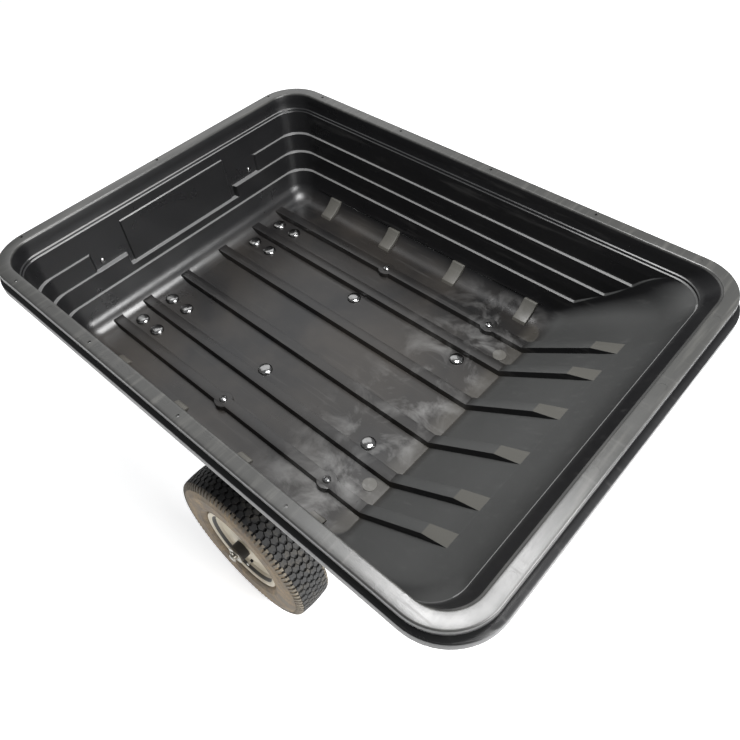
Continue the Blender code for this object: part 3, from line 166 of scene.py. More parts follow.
MARKS = (
    (-0.604, -0.116), (-0.604, 0.099), (-0.604, 0.323), (-0.604, -0.320), (-0.510, 0.447),
    (-0.510, -0.447), (0.120, 0.452), (0.395, 0.452), (0.120, -0.452), (0.395, -0.452),
)
HOLE_RADIUS = 0.0033
HOLE_DEPTH = 0.0060
HOLE_CLEAR = 0.0100
HOLE_LINE = 0.4530
SIDE_HOLES = (0.5255, 0.2555, -0.0135, -0.2815)
FRONT_HOLE_INSET = 0.0110
FRONT_HOLES = (0.0, 0.3700, -0.3700)

# Bolts
SHANK = 0.0038
NUT_RADIUS = 0.0072
NUT_HEIGHT = 0.0050
NUT_CHAMFER = 0.0008
BOLT_TAIL = 0.0010
WIDE_HEAD_RADIUS = 0.0170
WIDE_HEAD_HEIGHT = 0.0072
BOSS_HEAD_RADIUS = 0.0090
BOSS_HEAD_HEIGHT = 0.0045
WALL_HEAD_RADIUS = 0.0070
WALL_HEAD_HEIGHT = 0.0040
WALL_BOLT_GRIP = 0.0079
WALL_BOLT_DROP = 0.1400
WALL_BOLT_SIDE = 0.2360
BRACKET_BOLT_REACH = 0.1605
HEAD_GAP = 0.0006
SEAT_LIFT = 0.0002
SEAT_CUT_HEIGHT = 0.0200

# Tyre. Sections are lists of (radius, distance from the wheel's middle)
TYRE_RADIUS = 0.2040
TYRE_SIDES = 120
TREAD_HALF = 0.0390
TREAD_CROWN = 0.0030
GROOVE_START = 0.1935
TYRE_SIDE = (
    (0.1022, 0.0377), (0.1165, 0.0377), (0.1180, 0.0420), (0.1205, 0.0450), (0.1260, 0.0478),
    (0.1290, 0.0489), (0.1300, 0.0497), (0.1315, 0.0498), (0.1325, 0.0493), (0.1400, 0.0504),
    (0.1480, 0.0510), (0.1560, 0.0511), (0.1640, 0.0507), (0.1660, 0.0512), (0.1690, 0.0511),
    (0.1710, 0.0501), (0.1780, 0.0490), (0.1850, 0.0474), (0.1905, 0.0450), (0.1945, 0.0420),
    (0.1965, 0.0385), (0.1975, 0.0300), (0.1985, 0.0150),
)
TYRE_MIDDLE = (0.1988, 0.0)
TYRE_INSIDE = (
    (0.1022, 0.0297), (0.1165, 0.0297), (0.1527, 0.0435), (0.1850, 0.0310), (0.1860, 0.0),
)
BLOCK_COLUMNS = 64
BLOCK_ROW = 0.0148
BLOCK_GAP = 0.0015
BLOCK_HALF_LENGTH = 0.0094
BLOCK_SHOULDER = 0.55
BLOCK_NOTCH = 0.70
BLOCK_LAYERS = ((1.0, -0.0056), (0.95, -0.0006), (0.86, 0.0))
FIN_COUNT = 96
FIN_PATH = (
    (0.2008, 0.0378), (0.1996, 0.0412), (0.1966, 0.0440), (0.1920, 0.0466), (0.1872, 0.0486),
)
FIN_HALF_WIDTH = 0.0040
FIN_TAPER = 0.0003
FIN_ROOT = (0.0050, 0.0036)
FIN_END_ROOT = (0.0020, 0.0014)

# Rim, hub and valve
BEAD_RADIUS = 0.1015
BEAD_HALF_WIDTH = 0.0395
RIM_SHEET = 0.0030
WELL_RADIUS = 0.0875
WELL_HALF = 0.0160
WELL_INSIDE_HALF = 0.0155
SEAT_HALF = 0.0235
SEAT_INSIDE_HALF = 0.0230
DISC_OUT = 0.0270
DISC_DISH = 0.0045
HUB_RADIUS = 0.0215
HUB_WALL = 0.0035
HUB_HALF = 0.0540
HUB_BEAD = 0.0035
BARREL_DEPTH = 0.0120
BARREL_MARGIN = 0.0010
BUSH_CLEARANCE = 0.0008
BUSH_SLEEVE = 0.0041
BUSH_DEPTH = 0.0240
BUSH_FACE = 0.0027
VALVE_REACH = 0.0750
VALVE_ANGLE = math.radians(-92.0)
VALVE_STEM = ((0.0042, 0.0), (0.0042, 0.0030), (0.0032, 0.0044), (0.0030, 0.0062))
VALVE_CAP = (
    (0.0040, 0.0062), (0.0042, 0.0068), (0.0042, 0.0140), (0.0036, 0.0156), (0.0020, 0.0160),
)
VALVE_SIDES = 24
VALVE_SINK = 0.0042

# Fine bevels of the pieces that keep their CAD solids
STEEL_BEVEL = 0.0007
SMALL_BEVEL = 0.0004

# Where the tub's finish changes: a mask's two places, then its values there if not 0 and 1
ON_RAMP = (AXLE_X - 0.258, AXLE_X - 0.285)
UNDER_RIM = (RIM_HEIGHT - 0.030, RIM_HEIGHT - 0.050)
ON_RIM = (RIM_HEIGHT - 0.006, RIM_HEIGHT - 0.001)
NEAR_FLOOR = (FLOOR_Z + 0.004, FLOOR_Z + 0.030, 1.0, 0.0)
ON_FLOOR = (FLOOR_Z + 0.0010, FLOOR_Z + 0.0030, 1.0, 0.0)
REAR_HALF = (AXLE_X + 0.02, AXLE_X - 0.20)
BEFORE_BEND = (AXLE_X - 0.270, AXLE_X - 0.215)
AT_BEND = (AXLE_X - 0.222, AXLE_X - 0.242)
BEHIND_FRONT = (AXLE_X + 0.52, AXLE_X + 0.56, 1.0, 0.0)

# Colours that lie over the tub's black
DUST = (0.044, 0.037, 0.030)
WORN = (0.046, 0.047, 0.046)
RIM_GREY = (0.058, 0.058, 0.055)
RUBBED = (0.150, 0.146, 0.134)
BEND_DIRT = (0.078, 0.072, 0.060)
SCRATCHED = (0.200, 0.195, 0.185)
STAINED = (0.250, 0.247, 0.242)

# Stage, lights as (name, place, size, power), and camera
STAGE_HALF = 9.0
STAGE_TONES = ((0.80, 0.80, 0.80), (0.83, 0.83, 0.83))
STAGE_GLOW = 0.68
WORLD_COLOR = (0.97, 0.98, 1.0, 1.0)
WORLD_STRENGTH = 0.28
LIGHT_TARGET = (AXLE_X, 0.0, 0.5)
LIGHTS = (
    ("overhead", (-0.52, -0.22, 2.60), (0.9, 0.8), 74.0),
    ("front_right", (1.65, -1.15, 2.35), (2.4, 2.4), 23.0),
    ("rear", (-2.35, -0.20, 1.35), (1.4, 0.8), 86.0),
)
CAMERA_PLACE = (-1.02609, 0.73799, 1.70766)
CAMERA_RIGHT = (-0.74106, -0.66914, -0.05543)
CAMERA_UP = (0.48268, -0.58831, 0.64878)
CAMERA_BACK = (-0.46673, 0.45403, 0.75896)
CAMERA_LENS = 34.478
CAMERA_SENSOR = 36.0
CAMERA_SHIFT = (0.00703, -0.0052)


# Materials


def node(tree, kind, inputs=None, **settings):
    made = tree.nodes.new("ShaderNode" + kind)
    for key, value in settings.items():
        setattr(made, key, value)
    for key, value in (inputs or {}).items():
        socket = made.inputs[key]
        if isinstance(value, bpy.types.NodeSocket):
            tree.links.new(value, socket)
        else:
            socket.default_value = value
    return made


def math_node(tree, operation, a, b):
    return node(tree, "Math", {0: a, 1: b}, operation=operation, use_clamp=True).outputs[0]


def product(tree, first, *rest):
    """Masks and numbers multiplied together."""
    for value in rest:
        first = math_node(tree, "MULTIPLY", first, value)
    return first


def span(tree, value, low, high, start=0.0, end=1.0):
    """Value taken from low..high to start..end, and held there outside."""
    inputs = {"Value": value, "From Min": low, "From Max": high, "To Min": start, "To Max": end}
    return node(tree, "MapRange", inputs).outputs[0]


def noise(tree, vector, scale, detail=3.0, rough=0.55, warp=0.0):
    inputs = {
        "Vector": vector, "Scale": scale, "Detail": detail, "Roughness": rough,
        "Distortion": warp}
    return node(tree, "TexNoise", inputs).outputs["Fac"]


def mix(tree, factor, a, b):
    made = node(tree, "Mix", data_type="RGBA")
    for index, value in ((0, factor), (6, a), (7, b)):
        if isinstance(value, bpy.types.NodeSocket):
            tree.links.new(value, made.inputs[index])
        elif index:
            made.inputs[index].default_value = (*value, 1.0)
        else:
            made.inputs[index].default_value = value
    return made.outputs[2]


def stretched(tree, vector, scale):
    return node(tree, "Mapping", {"Vector": vector, "Scale": scale}).outputs[0]


def bump(tree, height, distance, strength, normal=None):
    inputs = {"Height": height, "Distance": distance, "Strength": strength}
    if normal is not None:
        inputs["Normal"] = normal
    return node(tree, "Bump", inputs).outputs[0]


def material(name, color, **sockets):
    """A new material with a Principled shader: the material, its tree, shader and coordinates."""
    made = bpy.data.materials.new(name)
    made.use_nodes = True
    tree = made.node_tree
    shader = tree.nodes["Principled BSDF"]
    shader.inputs["Base Color"].default_value = (*color, 1.0)
    for key, value in sockets.items():
        shader.inputs[key].default_value = value
    where = tree.nodes.new("ShaderNodeTexCoord").outputs["Object"]
    return made, tree, shader, where


def plug(tree, shader, color, roughness, normal):
    for key, value in (("Base Color", color), ("Roughness", roughness), ("Normal", normal)):
        tree.links.new(value, shader.inputs[key])


def plastic_material(name, base, smooth, rough, worn=0.0):
    """Black moulded polyethylene: satin, with mould grain, scuffs, floor dust and dried marks."""
    made, tree, shader, where = material(name, base)
    place = node(tree, "SeparateXYZ", {0: where}).outputs
    x, z = place[0], place[2]
    facing = tree.nodes.new("ShaderNodeTexCoord").outputs["Normal"]
    upward = span(tree, node(tree, "SeparateXYZ", {0: facing}).outputs[2], 0.35, 0.70)
    slope = product(tree, upward, span(tree, x, *ON_RAMP), span(tree, z, *UNDER_RIM))
    low = span(tree, z, *NEAR_FLOOR)
    rim = span(tree, z, *ON_RIM)
    cloud = noise(tree, where, 3.2, 4.0, 0.6, 0.4)
    dust = product(tree, span(tree, cloud, 0.35, 0.70), low)
    patch = span(tree, noise(tree, where, 12.0, 5.0, 0.62, 0.5), 0.48, 0.70)
    stain = product(
        tree, span(tree, x, *REAR_HALF), low, span(tree, x, *BEFORE_BEND), patch)
    bend = product(tree, span(tree, x, *AT_BEND), span(tree, z, *ON_FLOOR))
    streak = noise(tree, stretched(tree, where, (4.0, 90.0, 40.0)), 1.0, 4.0, 0.7)
    scratch = product(tree, span(tree, streak, 0.58, 0.72), span(tree, x, *BEHIND_FRONT))
    cross = noise(tree, stretched(tree, where, (70.0, 5.0, 30.0)), 1.0, 3.0, 0.7)
    rub = product(tree, rim, span(tree, cross, 0.50, 0.80))
    color = base
    for mask, strength, tint in (
            (dust, 0.50, DUST), (slope, worn, WORN), (rim, 0.58, RIM_GREY),
            (rub, 0.30, RUBBED), (bend, 0.30, BEND_DIRT), (scratch, 0.06, SCRATCHED),
            (stain, 0.62, STAINED)):
        color = mix(tree, product(tree, mask, strength), color, tint)
    gloss = span(tree, noise(tree, where, 5.0, 5.0, 0.65, 0.6), 0.3, 0.7, smooth, rough)
    gloss = math_node(tree, "ADD", gloss, product(tree, scratch, 0.10))
    gloss = math_node(tree, "ADD", gloss, product(tree, slope, 0.14))
    grain = bump(tree, noise(tree, where, 1300.0, 2.0), 0.00012, 0.5)
    wave = bump(tree, noise(tree, where, 9.0, 1.0, 0.4), 0.0010, 0.30, grain)
    plug(tree, shader, color, gloss, wave)
    return made


def metal_material(name, color, roughness, spots, spot_color):
    """Bright plated metal with fine brushing and duller spots."""
    made, tree, shader, where = material(name, color, Metallic=1.0)
    dull = span(tree, noise(tree, where, spots, 4.0, 0.6), 0.50, 0.75)
    fine = noise(tree, where, 900.0, 2.0)
    brushed = span(tree, fine, 0.3, 0.7, roughness - 0.06, roughness + 0.10)
    plug(tree, shader, mix(tree, dull, color, spot_color), brushed,
         bump(tree, fine, 0.00006, 0.5))
    return made


def paint_material(name, color, dust_color, roughness, amount):
    """Painted steel with orange peel and dust lying on it in clouds."""
    made, tree, shader, where = material(name, color)
    cloud = span(tree, noise(tree, where, 9.0, 5.0, 0.65, 0.5), 0.40, 0.75)
    fleck = span(tree, noise(tree, where, 160.0, 3.0, 0.6), 0.55, 0.80)
    dust = math_node(
        tree, "ADD", product(tree, cloud, amount), product(tree, fleck, amount / 2))
    dulled = span(tree, cloud, 0.0, 1.0, roughness, roughness + 0.2)
    plug(tree, shader, mix(tree, dust, color, dust_color), dulled,
         bump(tree, noise(tree, where, 420.0, 2.0), 0.00015, 0.35))
    return made


def rubber_material(name, color, dust_color, low, high, grain):
    """Rubber with pale dust where a noise is high, finely pitted."""
    made, tree, shader, where = material(name, color)
    cloud = noise(tree, where, 22.0, 5.0, 0.65, 0.7)
    fine = noise(tree, where, 240.0, 3.0, 0.6)
    dust = product(tree, span(tree, cloud, low, high), span(tree, fine, 0.25, 0.60))
    plug(tree, shader, mix(tree, dust, color, dust_color),
         span(tree, cloud, 0.3, 0.7, 0.62, 0.88), bump(tree, fine, grain, 0.5))
    return made


PLASTIC = plastic_material("tub_plastic_worn", (0.006, 0.006, 0.0065), 0.25, 0.38, 0.75)
# Lighter matt plastic: its own lighter colour on the discs, and partly a painted light on the
# bands and rib ends for the light their faces catch
MATT_AND_PAINTED_LIGHT = plastic_material("tub_plastic_matt_and_painted_light", (0.062, 0.060, 0.053), 0.44, 0.58)
# Lighter plastic that paints the highlights along the ledge and step edges
PAINTED_EDGE_HIGHLIGHT = plastic_material("tub_plastic_painted_edge_highlight", (0.110, 0.110, 0.110), 0.30, 0.45)
TUB_MATERIAL_SET = (PLASTIC, MATT_AND_PAINTED_LIGHT, PAINTED_EDGE_HIGHLIGHT)
MATT_AND_LIGHT_SLOT = 1
HIGHLIGHT_SLOT = 2
STEEL = paint_material(
    "black_paint_dusty", (0.014, 0.014, 0.015), (0.120, 0.105, 0.085), 0.36, 0.22)
ZINC = metal_material("zinc_plate", (0.78, 0.78, 0.76), 0.24, 120.0, (0.52, 0.50, 0.46))
DULL_ZINC = metal_material("zinc_dull", (0.40, 0.39, 0.35), 0.40, 70.0, (0.24, 0.21, 0.16))
BOLT_ZINC = metal_material(
    "zinc_bolt_heads", (0.28, 0.28, 0.28), 0.12, 90.0, (0.17, 0.165, 0.155))
WHEEL_PAINT = paint_material(
    "beige_wheel_paint", (0.560, 0.510, 0.400), (0.380, 0.310, 0.210), 0.42, 0.55)
HUB_PAINT = paint_material(
    "hub_black_paint", (0.018, 0.017, 0.016), (0.100, 0.080, 0.060), 0.45, 0.25)
# Dark paint that stands in for the shade deep in the rim's barrel
PAINTED_BARREL_SHADE = paint_material(
    "barrel_shade", (0.045, 0.042, 0.038), (0.140, 0.120, 0.090), 0.50, 0.30)
BEARING = paint_material(
    "bearing_grey", (0.080, 0.075, 0.068), (0.200, 0.170, 0.120), 0.45, 0.35)
SIDEWALL = rubber_material(
    "sidewall_rubber", (0.150, 0.118, 0.084), (0.430, 0.320, 0.190), 0.40, 0.78, 0.0002)
TREAD = rubber_material(
    "tread_rubber", (0.025, 0.025, 0.025), (0.120, 0.108, 0.088), 0.50, 0.85, 0.0003)
# Near-black rubber between the tread blocks, as painted shade in the grooves
GROOVE_PAINTED_SHADE = rubber_material(
    "groove_rubber_painted_shade", (0.004, 0.004, 0.004), (0.016, 0.014, 0.012), 0.55, 0.85, 0.0003)
SHOULDER = rubber_material(
    "shoulder_rubber", (0.110, 0.096, 0.076), (0.300, 0.260, 0.200), 0.35, 0.80, 0.0003)
RUBBER = rubber_material(
    "black_grip_rubber", (0.020, 0.020, 0.021), (0.070, 0.065, 0.060), 0.50, 0.80, 0.0002)


# Mesh helpers


def solid(bm):
    """A loose object made from a closed bmesh, with its faces turned outward."""
    bmesh.ops.recalc_face_normals(bm, faces=bm.faces)
    mesh = bpy.data.meshes.new("solid")
    bm.to_mesh(mesh)
    bm.free()
    obj = bpy.data.objects.new("solid", mesh)
    bpy.context.scene.collection.objects.link(obj)
    return obj


def skin(bm, rings, closed=False, mark=0):
    """Join rings of points with quads in a bmesh. An open run gets a cap at each end."""
    loops = [[bm.verts.new(point) for point in ring] for ring in rings]
    pairs = list(zip(loops, loops[1:]))
    faces = []
    if closed:
        pairs.append((loops[-1], loops[0]))
    else:
        faces = [bm.faces.new(loops[0]), bm.faces.new(loops[-1])]
    for low, high in pairs:
        for i in range(len(low)):
            j = (i + 1) % len(low)
            faces.append(bm.faces.new((low[i], low[j], high[j], high[i])))
    for face in faces:
        face.material_index = mark
    return faces


def loft(rings):
    bm = bmesh.new()
    skin(bm, rings)
    return solid(bm)


def circle(radius, sides, center=(0.0, 0.0), start=0.0, sweep=2 * math.pi):
    """Points on a circle, or on an arc with both its ends."""
    full = abs(sweep - 2 * math.pi) < 1e-9
    count = sides if full else sides + 1
    turns = [start + sweep * i / sides for i in range(count)]
    return [(center[0] + radius * math.cos(a), center[1] + radius * math.sin(a)) for a in turns]


def stack(profile, sides):
    """Rings about Z from (radius, z) points."""
    return [[(x, y, z) for x, y in circle(r, sides)] for r, z in profile]


def post(radius, low, high, x, y, sides):
    return loft([[(x + a, y + b, z) for a, b in circle(radius, sides)] for z in (low, high)])


def turned(bm, profile, sides, mark=0):
    """Turn a closed profile of (radius, y) points about Y into a bmesh."""
    rings = []
    for a in [2 * math.pi * i / sides for i in range(sides)]:
        rings.append([(r * math.cos(a), y, r * math.sin(a)) for r, y in profile])
    return skin(bm, rings, True, mark)


def mirrored(profile):
    """A profile of (radius, y) points on the other side, run the other way."""
    return [(r, -y) for r, y in profile[::-1]]


def tube(points, radius, sides):
    """A round tube along a run of points, with closed ends."""
    rings = []
    side = None
    for i, point in enumerate(points):
        before = points[max(i - 1, 0)]
        after = points[min(i + 1, len(points) - 1)]
        ahead = (Vector(after) - Vector(before)).normalized()
        if side is None:
            side = ahead.orthogonal().normalized()
        side = (side - ahead * side.dot(ahead)).normalized()
        up = ahead.cross(side)
        rings.append([Vector(point) + side * a + up * b for a, b in circle(radius, sides)])
    return loft(rings)


def bevel(obj, width, segments, angle=30.0):
    modifier = obj.modifiers.new("edges", "BEVEL")
    modifier.width = width
    modifier.segments = segments
    modifier.limit_method = "ANGLE"
    modifier.angle_limit = math.radians(angle)
    modifier.harden_normals = False
    return obj


def bake(obj):
    """Apply an object's modifiers to its mesh."""
    bpy.context.view_layer.update()
    evaluated = obj.evaluated_get(bpy.context.evaluated_depsgraph_get())
    result = bpy.data.meshes.new_from_object(evaluated)
    obj.modifiers.clear()
    obj.data = result
    return obj


def combine(target, tools, operation):
    """Join tools to a target, or cut them from it, and remove them."""
    joined = bmesh.new()
    for tool in tools:
        joined.from_mesh(tool.data)
    cutter = solid(joined)
    for entry in target.data.materials:
        cutter.data.materials.append(entry)
    modifier = target.modifiers.new("boolean", "BOOLEAN")
    modifier.operation = operation
    modifier.solver = "EXACT"
    modifier.use_self = True
    modifier.object = cutter
    bake(target)
    for tool in (cutter, *tools):
        bpy.data.objects.remove(tool)


def dress(obj, name, body, materials, replaces, smooth=35.0):
    """Name a piece, give it its materials, and hang it on its body in place of CAD nodes."""
    obj.name = name
    obj.data.name = name
    for entry in materials:
        obj.data.materials.append(entry)
    obj.data.shade_smooth()
    obj.data.set_sharp_from_angle(angle=math.radians(smooth))
    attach(obj, body)
    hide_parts(*replaces)


# Tub


def soft(t, ease=0.35):
    """0 to 1 along a straight line with rounded ends."""
    t = min(max(t, 0.0), 1.0)
    scale = 2 * ease * (1 - ease)
    if t < ease:
        return t * t / scale
    if t > 1 - ease:
        return 1 - (1 - t) ** 2 / scale
    return (t - ease / 2) / (1 - ease)


def past(drop, edge):
    """0 above a step and 1 below it."""
    return soft((drop - edge) / STEP_HEIGHT + 0.5)


def wall_inset(drop):
    """How far in from the rim's outer edge the inner face of a wall is."""
    ledges = past(drop, LEDGE_TOP) + past(drop, LEDGE_FOOT)
    inset = RIM_SHELF + WALL_DRAFT * drop + LEDGE_WIDTH * ledges
    inset += (FOOT_DRAFT - WALL_DRAFT) * max(drop - STEP_DROPS[2], 0.0)
    return inset + STEP_WIDTH * sum(past(drop, step) for step in STEP_DROPS)


def ramp_rear(drop):
    """Where the rear wall is: upright to the ledge, then a sweep, then the straight ramp."""
    ledge_end = LEDGE_DROP + LEDGE_HEIGHT
    if drop <= ledge_end:
        wall = RIM_REAR + RIM_SHELF + (REAR_SETBACK - LEDGE_WIDTH) * min(drop / LEDGE_DROP, 1.0)
        return wall + LEDGE_WIDTH * past(drop, LEDGE_FOOT)
    straight = -RAMP_BEND - (FLOOR_DEPTH - drop) / math.tan(RAMP_ANGLE)
    if drop >= RAMP_SWEEP_DROP:
        return straight
    top = RIM_REAR + RIM_SHELF + REAR_SETBACK
    start = -RAMP_BEND - (FLOOR_DEPTH - RAMP_SWEEP_DROP) / math.tan(RAMP_ANGLE)
    reach = RAMP_SWEEP_DROP - ledge_end
    share = (RAMP_SWEEP_DROP - drop) / reach
    linear = reach / math.tan(RAMP_ANGLE)
    return start - linear * share - (start - top - linear) * share ** 2


def ramp_lean(drop):
    """Length along the ramp for a unit of depth."""
    step = 0.0005
    run = (ramp_rear(drop + step) - ramp_rear(drop - step)) / (2 * step)
    return math.sqrt(1 + run * run)


def rear_corner(drop):
    """Radius of the rear corners: it grows up the ramp and draws in again at the ledge."""
    if drop <= LEDGE_DROP:
        plain = RIM_CORNER - RIM_SHELF
        return plain + (LEDGE_REAR_CORNER - plain) * drop / LEDGE_DROP
    up = max(min((FLOOR_DEPTH - drop) / (FLOOR_DEPTH - LEDGE_DROP), 1.0), 0.0)
    ramp = FLOOR_REAR_CORNER + (RAMP_REAR_CORNER - FLOOR_REAR_CORNER) * math.sqrt(up)
    near = min(max(1 - (drop - LEDGE_DROP - LEDGE_HEIGHT) / CORNER_BLEND, 0.0), 1.0)
    return ramp - (ramp - LEDGE_REAR_CORNER) * near ** 2


def rear_step(drop):
    """How much further in the side wall is past the ends of the steps, where it leans evenly."""
    top = LEDGE_DROP + LEDGE_HEIGHT
    share = min(max((drop - top) / (STEP_DROPS[-1] - top), 0.0), 1.0)
    return STEP_WIDTH * max(
        len(STEP_DROPS) * share - sum(past(drop, step) for step in STEP_DROPS), 0.0)


def fillet_turns():
    """Angles around the curve from the side wall to the floor."""
    lean = math.atan(FOOT_DRAFT)
    return [lean + (QUARTER - lean) * i / FILLET_STEPS for i in range(FILLET_STEPS + 1)]


def floor_inset():
    lean = math.atan(FOOT_DRAFT)
    start = FLOOR_DEPTH - FLOOR_FILLET * (1 - math.sin(lean))
    return wall_inset(start) + FLOOR_FILLET * math.cos(lean)


def front_points(front, drop):
    """Front side of a round from right to left, held back in the middle, raised on the panel."""
    outer = STEP_WIDTH * (past(drop, STEP_DROPS[0]) - past(drop, STEP_DROPS[1]))
    inner = outer + 2 * STEP_WIDTH * (past(drop, STEP_DROPS[1]) - past(drop, PANEL_BOTTOM))
    panel = inner - PANEL_RAISE * (past(drop, PANEL_TOP) - past(drop, PANEL_BOTTOM))
    half = []
    for edge, run, low, high in (
            (OUTER_JOG, JOG_RUN, 0.0, outer), (INNER_JOG, JOG_RUN, outer, inner),
            (PANEL_HALF_WIDTH, JOG_RUN / 2, inner, panel)):
        for t in (0.0, 0.25, 0.5, 0.75, 1.0):
            half.append((edge + run * (1 - t), low + (high - low) * soft(t)))
    return [(front + held, -y) for y, held in half] + [(front + held, y) for y, held in half[::-1]]


def tub_round(drop, inset, rear, front_corner, back_corner, features):
    """One level round of the tub. The features' depth sets its jogs and the ends of its steps."""
    front = AXLE_TO_FRONT - inset
    half = HALF_WIDTH - inset
    rear_half = half - rear_step(features)
    turn = rear + back_corner
    corners = (
        (front - front_corner, -half + front_corner, front_corner, -QUARTER),
        (front - front_corner, half - front_corner, front_corner, 0.0),
        (turn, rear_half - back_corner, back_corner, QUARTER),
        (turn, -rear_half + back_corner, back_corner, 2 * QUARTER),
    )
    arcs = [circle(r, CORNER_STEPS, (x, y), start, QUARTER) for x, y, r, start in corners]
    ends = []
    for t in (0.0, 0.25, 0.5, 0.75):
        ends.append((turn + JOG_RUN * (1 - t), half - (half - rear_half) * soft(t)))
    flat = arcs[0] + front_points(front, features) + arcs[1] + ends + arcs[2] + arcs[3]
    flat += [(x, -y) for x, y in ends[::-1]]
    return [(x + AXLE_X, y, RIM_HEIGHT - drop) for x, y in flat]


def wall_round(drop, wall=0.0):
    corner = max(RIM_CORNER - wall_inset(drop), WALL_CORNER) + wall
    depth = drop + wall
    rear = ramp_rear(depth) - wall * ramp_lean(depth)
    inset = wall_inset(drop) - wall
    return tub_round(depth, inset, rear, corner, rear_corner(drop) + wall, drop)


def fillet_round(turn, wall=0.0):
    drop = FLOOR_DEPTH - FLOOR_FILLET * (1 - math.sin(turn))
    inset = floor_inset() - (FLOOR_FILLET + wall) * math.cos(turn)
    corner = FLOOR_CORNER + (WALL_CORNER - FLOOR_CORNER) * math.cos(turn) + wall
    depth = drop + wall * math.sin(turn)
    rear = ramp_rear(depth) - wall * ramp_lean(depth)
    return tub_round(depth, inset, rear, corner, rear_corner(drop) + wall, drop)


def rim_round(drop, inset, rear_out):
    corner = RIM_CORNER - inset
    return tub_round(drop, inset, RIM_REAR + inset - rear_out, corner, corner + rear_out, 0.0)


def wall_drops(shares):
    """Depths of the rounds between the rim and the floor curve, close together at each edge."""
    half = STEP_HEIGHT / 2
    places = sorted((LEDGE_TOP, LEDGE_FOOT, PANEL_TOP, PANEL_BOTTOM) + STEP_DROPS)
    drops = [RIM_ROUND, RIM_INNER_DROP, LEDGE_DROP + LEDGE_HEIGHT]
    for low, high in [(place - half, place + half) for place in places]:
        drops += [low + (high - low) * share for share in shares]
    for drop in UPPER_DROPS + LOWER_DROPS:
        if all(abs(drop - place) > STEP_HEIGHT for place in places):
            drops.append(drop)
    return sorted(drops)


def rim_section():
    """Section of the rolled rim from its inner edge, over the top and round to its inside."""
    turns = [QUARTER * k / 4 for k in range(5)]
    inner = RIM_SHELF - RIM_ROUND
    section = []
    for a in turns[3:0:-1]:
        section.append((RIM_ROUND * (1 - math.cos(a)), inner + RIM_ROUND * math.sin(a), 0.0))
    section += [(0.0, inner, 0.0), (0.0, RIM_ROUND, 0.0)]
    for a in turns[1:]:
        section.append((RIM_ROUND * (1 - math.cos(a)), RIM_ROUND * (1 - math.sin(a)), 0.0))
    return section + list(RIM_SECTION)


def finish(obj, mark=None):
    """Give a moulded piece the tub's run of materials, and all its faces one of them."""
    for entry in TUB_MATERIAL_SET:
        obj.data.materials.append(entry)
    if mark is not None:
        for face in obj.data.polygons:
            face.material_index = mark
    return obj


def tub_shell():
    """The bare shell: up the inside, over the rim and down the outside, with a painted highlight
    on the up-facing faces of its ledges and steps.
    """
    rings = [fillet_round(turn) for turn in reversed(fillet_turns())]
    rings += [wall_round(drop) for drop in reversed(wall_drops(FINE_SHARES))]
    rings += [rim_round(*point) for point in rim_section()]
    rings += [wall_round(drop, TUB_WALL) for drop in wall_drops(COARSE_SHARES)[2:]]
    rings += [fillet_round(turn, TUB_WALL) for turn in fillet_turns()]
    tub = finish(loft(rings))
    for face in tub.data.polygons:
        drop = RIM_HEIGHT - face.center.z
        up = face.normal.z
        inboard = abs(face.center.y) < HALF_WIDTH - LINE_SIDE_MARGIN
        on_ledge = LEDGE_TOP - STEP_HEIGHT < drop < LEDGE_FOOT + STEP_HEIGHT
        on_step = LEDGE_FOOT + STEP_HEIGHT < drop < STEP_DROPS[2] + STEP_HEIGHT
        least = PANEL_LINE_UP if abs(drop - PANEL_TOP) < STEP_HEIGHT else STEP_LINE_UP
        # Up-facing faces of the ledges, steps and panel edge get a painted highlight
        ledge_line = on_ledge and inboard and up > LEDGE_LINE_UP
        step_line = on_step and face.normal.x < STEP_LINE_FORWARD and up > least
        if ledge_line or step_line:
            face.material_index = HIGHLIGHT_SLOT
    return tub


def fillet_height(x):
    """Height of the front curve above the floor."""
    run = max(x - AXLE_TO_FRONT + floor_inset(), 0.0)
    return FLOOR_FILLET - math.sqrt(max(FLOOR_FILLET ** 2 - run ** 2, 0.0))


def on_ramp(x, off):
    """Height above the floor of a place that is off the ramp's face by a given distance."""
    return (x - RAMP_BEND) * math.tan(RAMP_ANGLE) + off / math.cos(RAMP_ANGLE)


def rib(y, base, top, half_base, half_top, rear, rear_top, half_rear):
    """A rib along the floor and up the ramp. Its front end lies in the front curve."""
    start = AXLE_TO_FRONT - floor_inset()
    tip = start + math.sqrt(FLOOR_FILLET ** 2 - (FLOOR_FILLET - RIB_HEIGHT) ** 2)
    bend = math.tan(RAMP_ANGLE / 2)
    fade = RIB_REAR_END - RIB_CHAMFER
    stations = []
    for share in (1.0, 0.8, 0.6, 0.4, 0.2, 0.0):
        x = start + (tip - start) * share
        stations.append((x, fillet_height(x) + base, x, top))
    stations += [
        (base * bend - RAMP_BEND, base, top * bend - RAMP_BEND, top),
        (-fade, on_ramp(fade, base), -fade, on_ramp(fade, top)),
        (-rear, on_ramp(rear, base), -rear, on_ramp(rear, rear_top)),
    ]
    halves = [(half_base, half_top)] * (len(stations) - 1)
    halves.append((max(half_base, half_rear), half_rear))
    rings = []
    for (x_base, z_base, x_top, z_top), (wide, narrow) in zip(stations, halves):
        low, high = FLOOR_Z + z_base, FLOOR_Z + z_top
        rings.append((
            (x_base + AXLE_X, y - wide, low), (x_base + AXLE_X, y + wide, low),
            (x_top + AXLE_X, y + narrow, high), (x_top + AXLE_X, y - narrow, high)))
    bm = bmesh.new()
    # The top of the rib's sloped end gets the lighter plastic, partly as a painted light for the
    # light that slope catches
    skin(bm, rings)[-2].material_index = MATT_AND_LIGHT_SLOT
    return solid(bm)


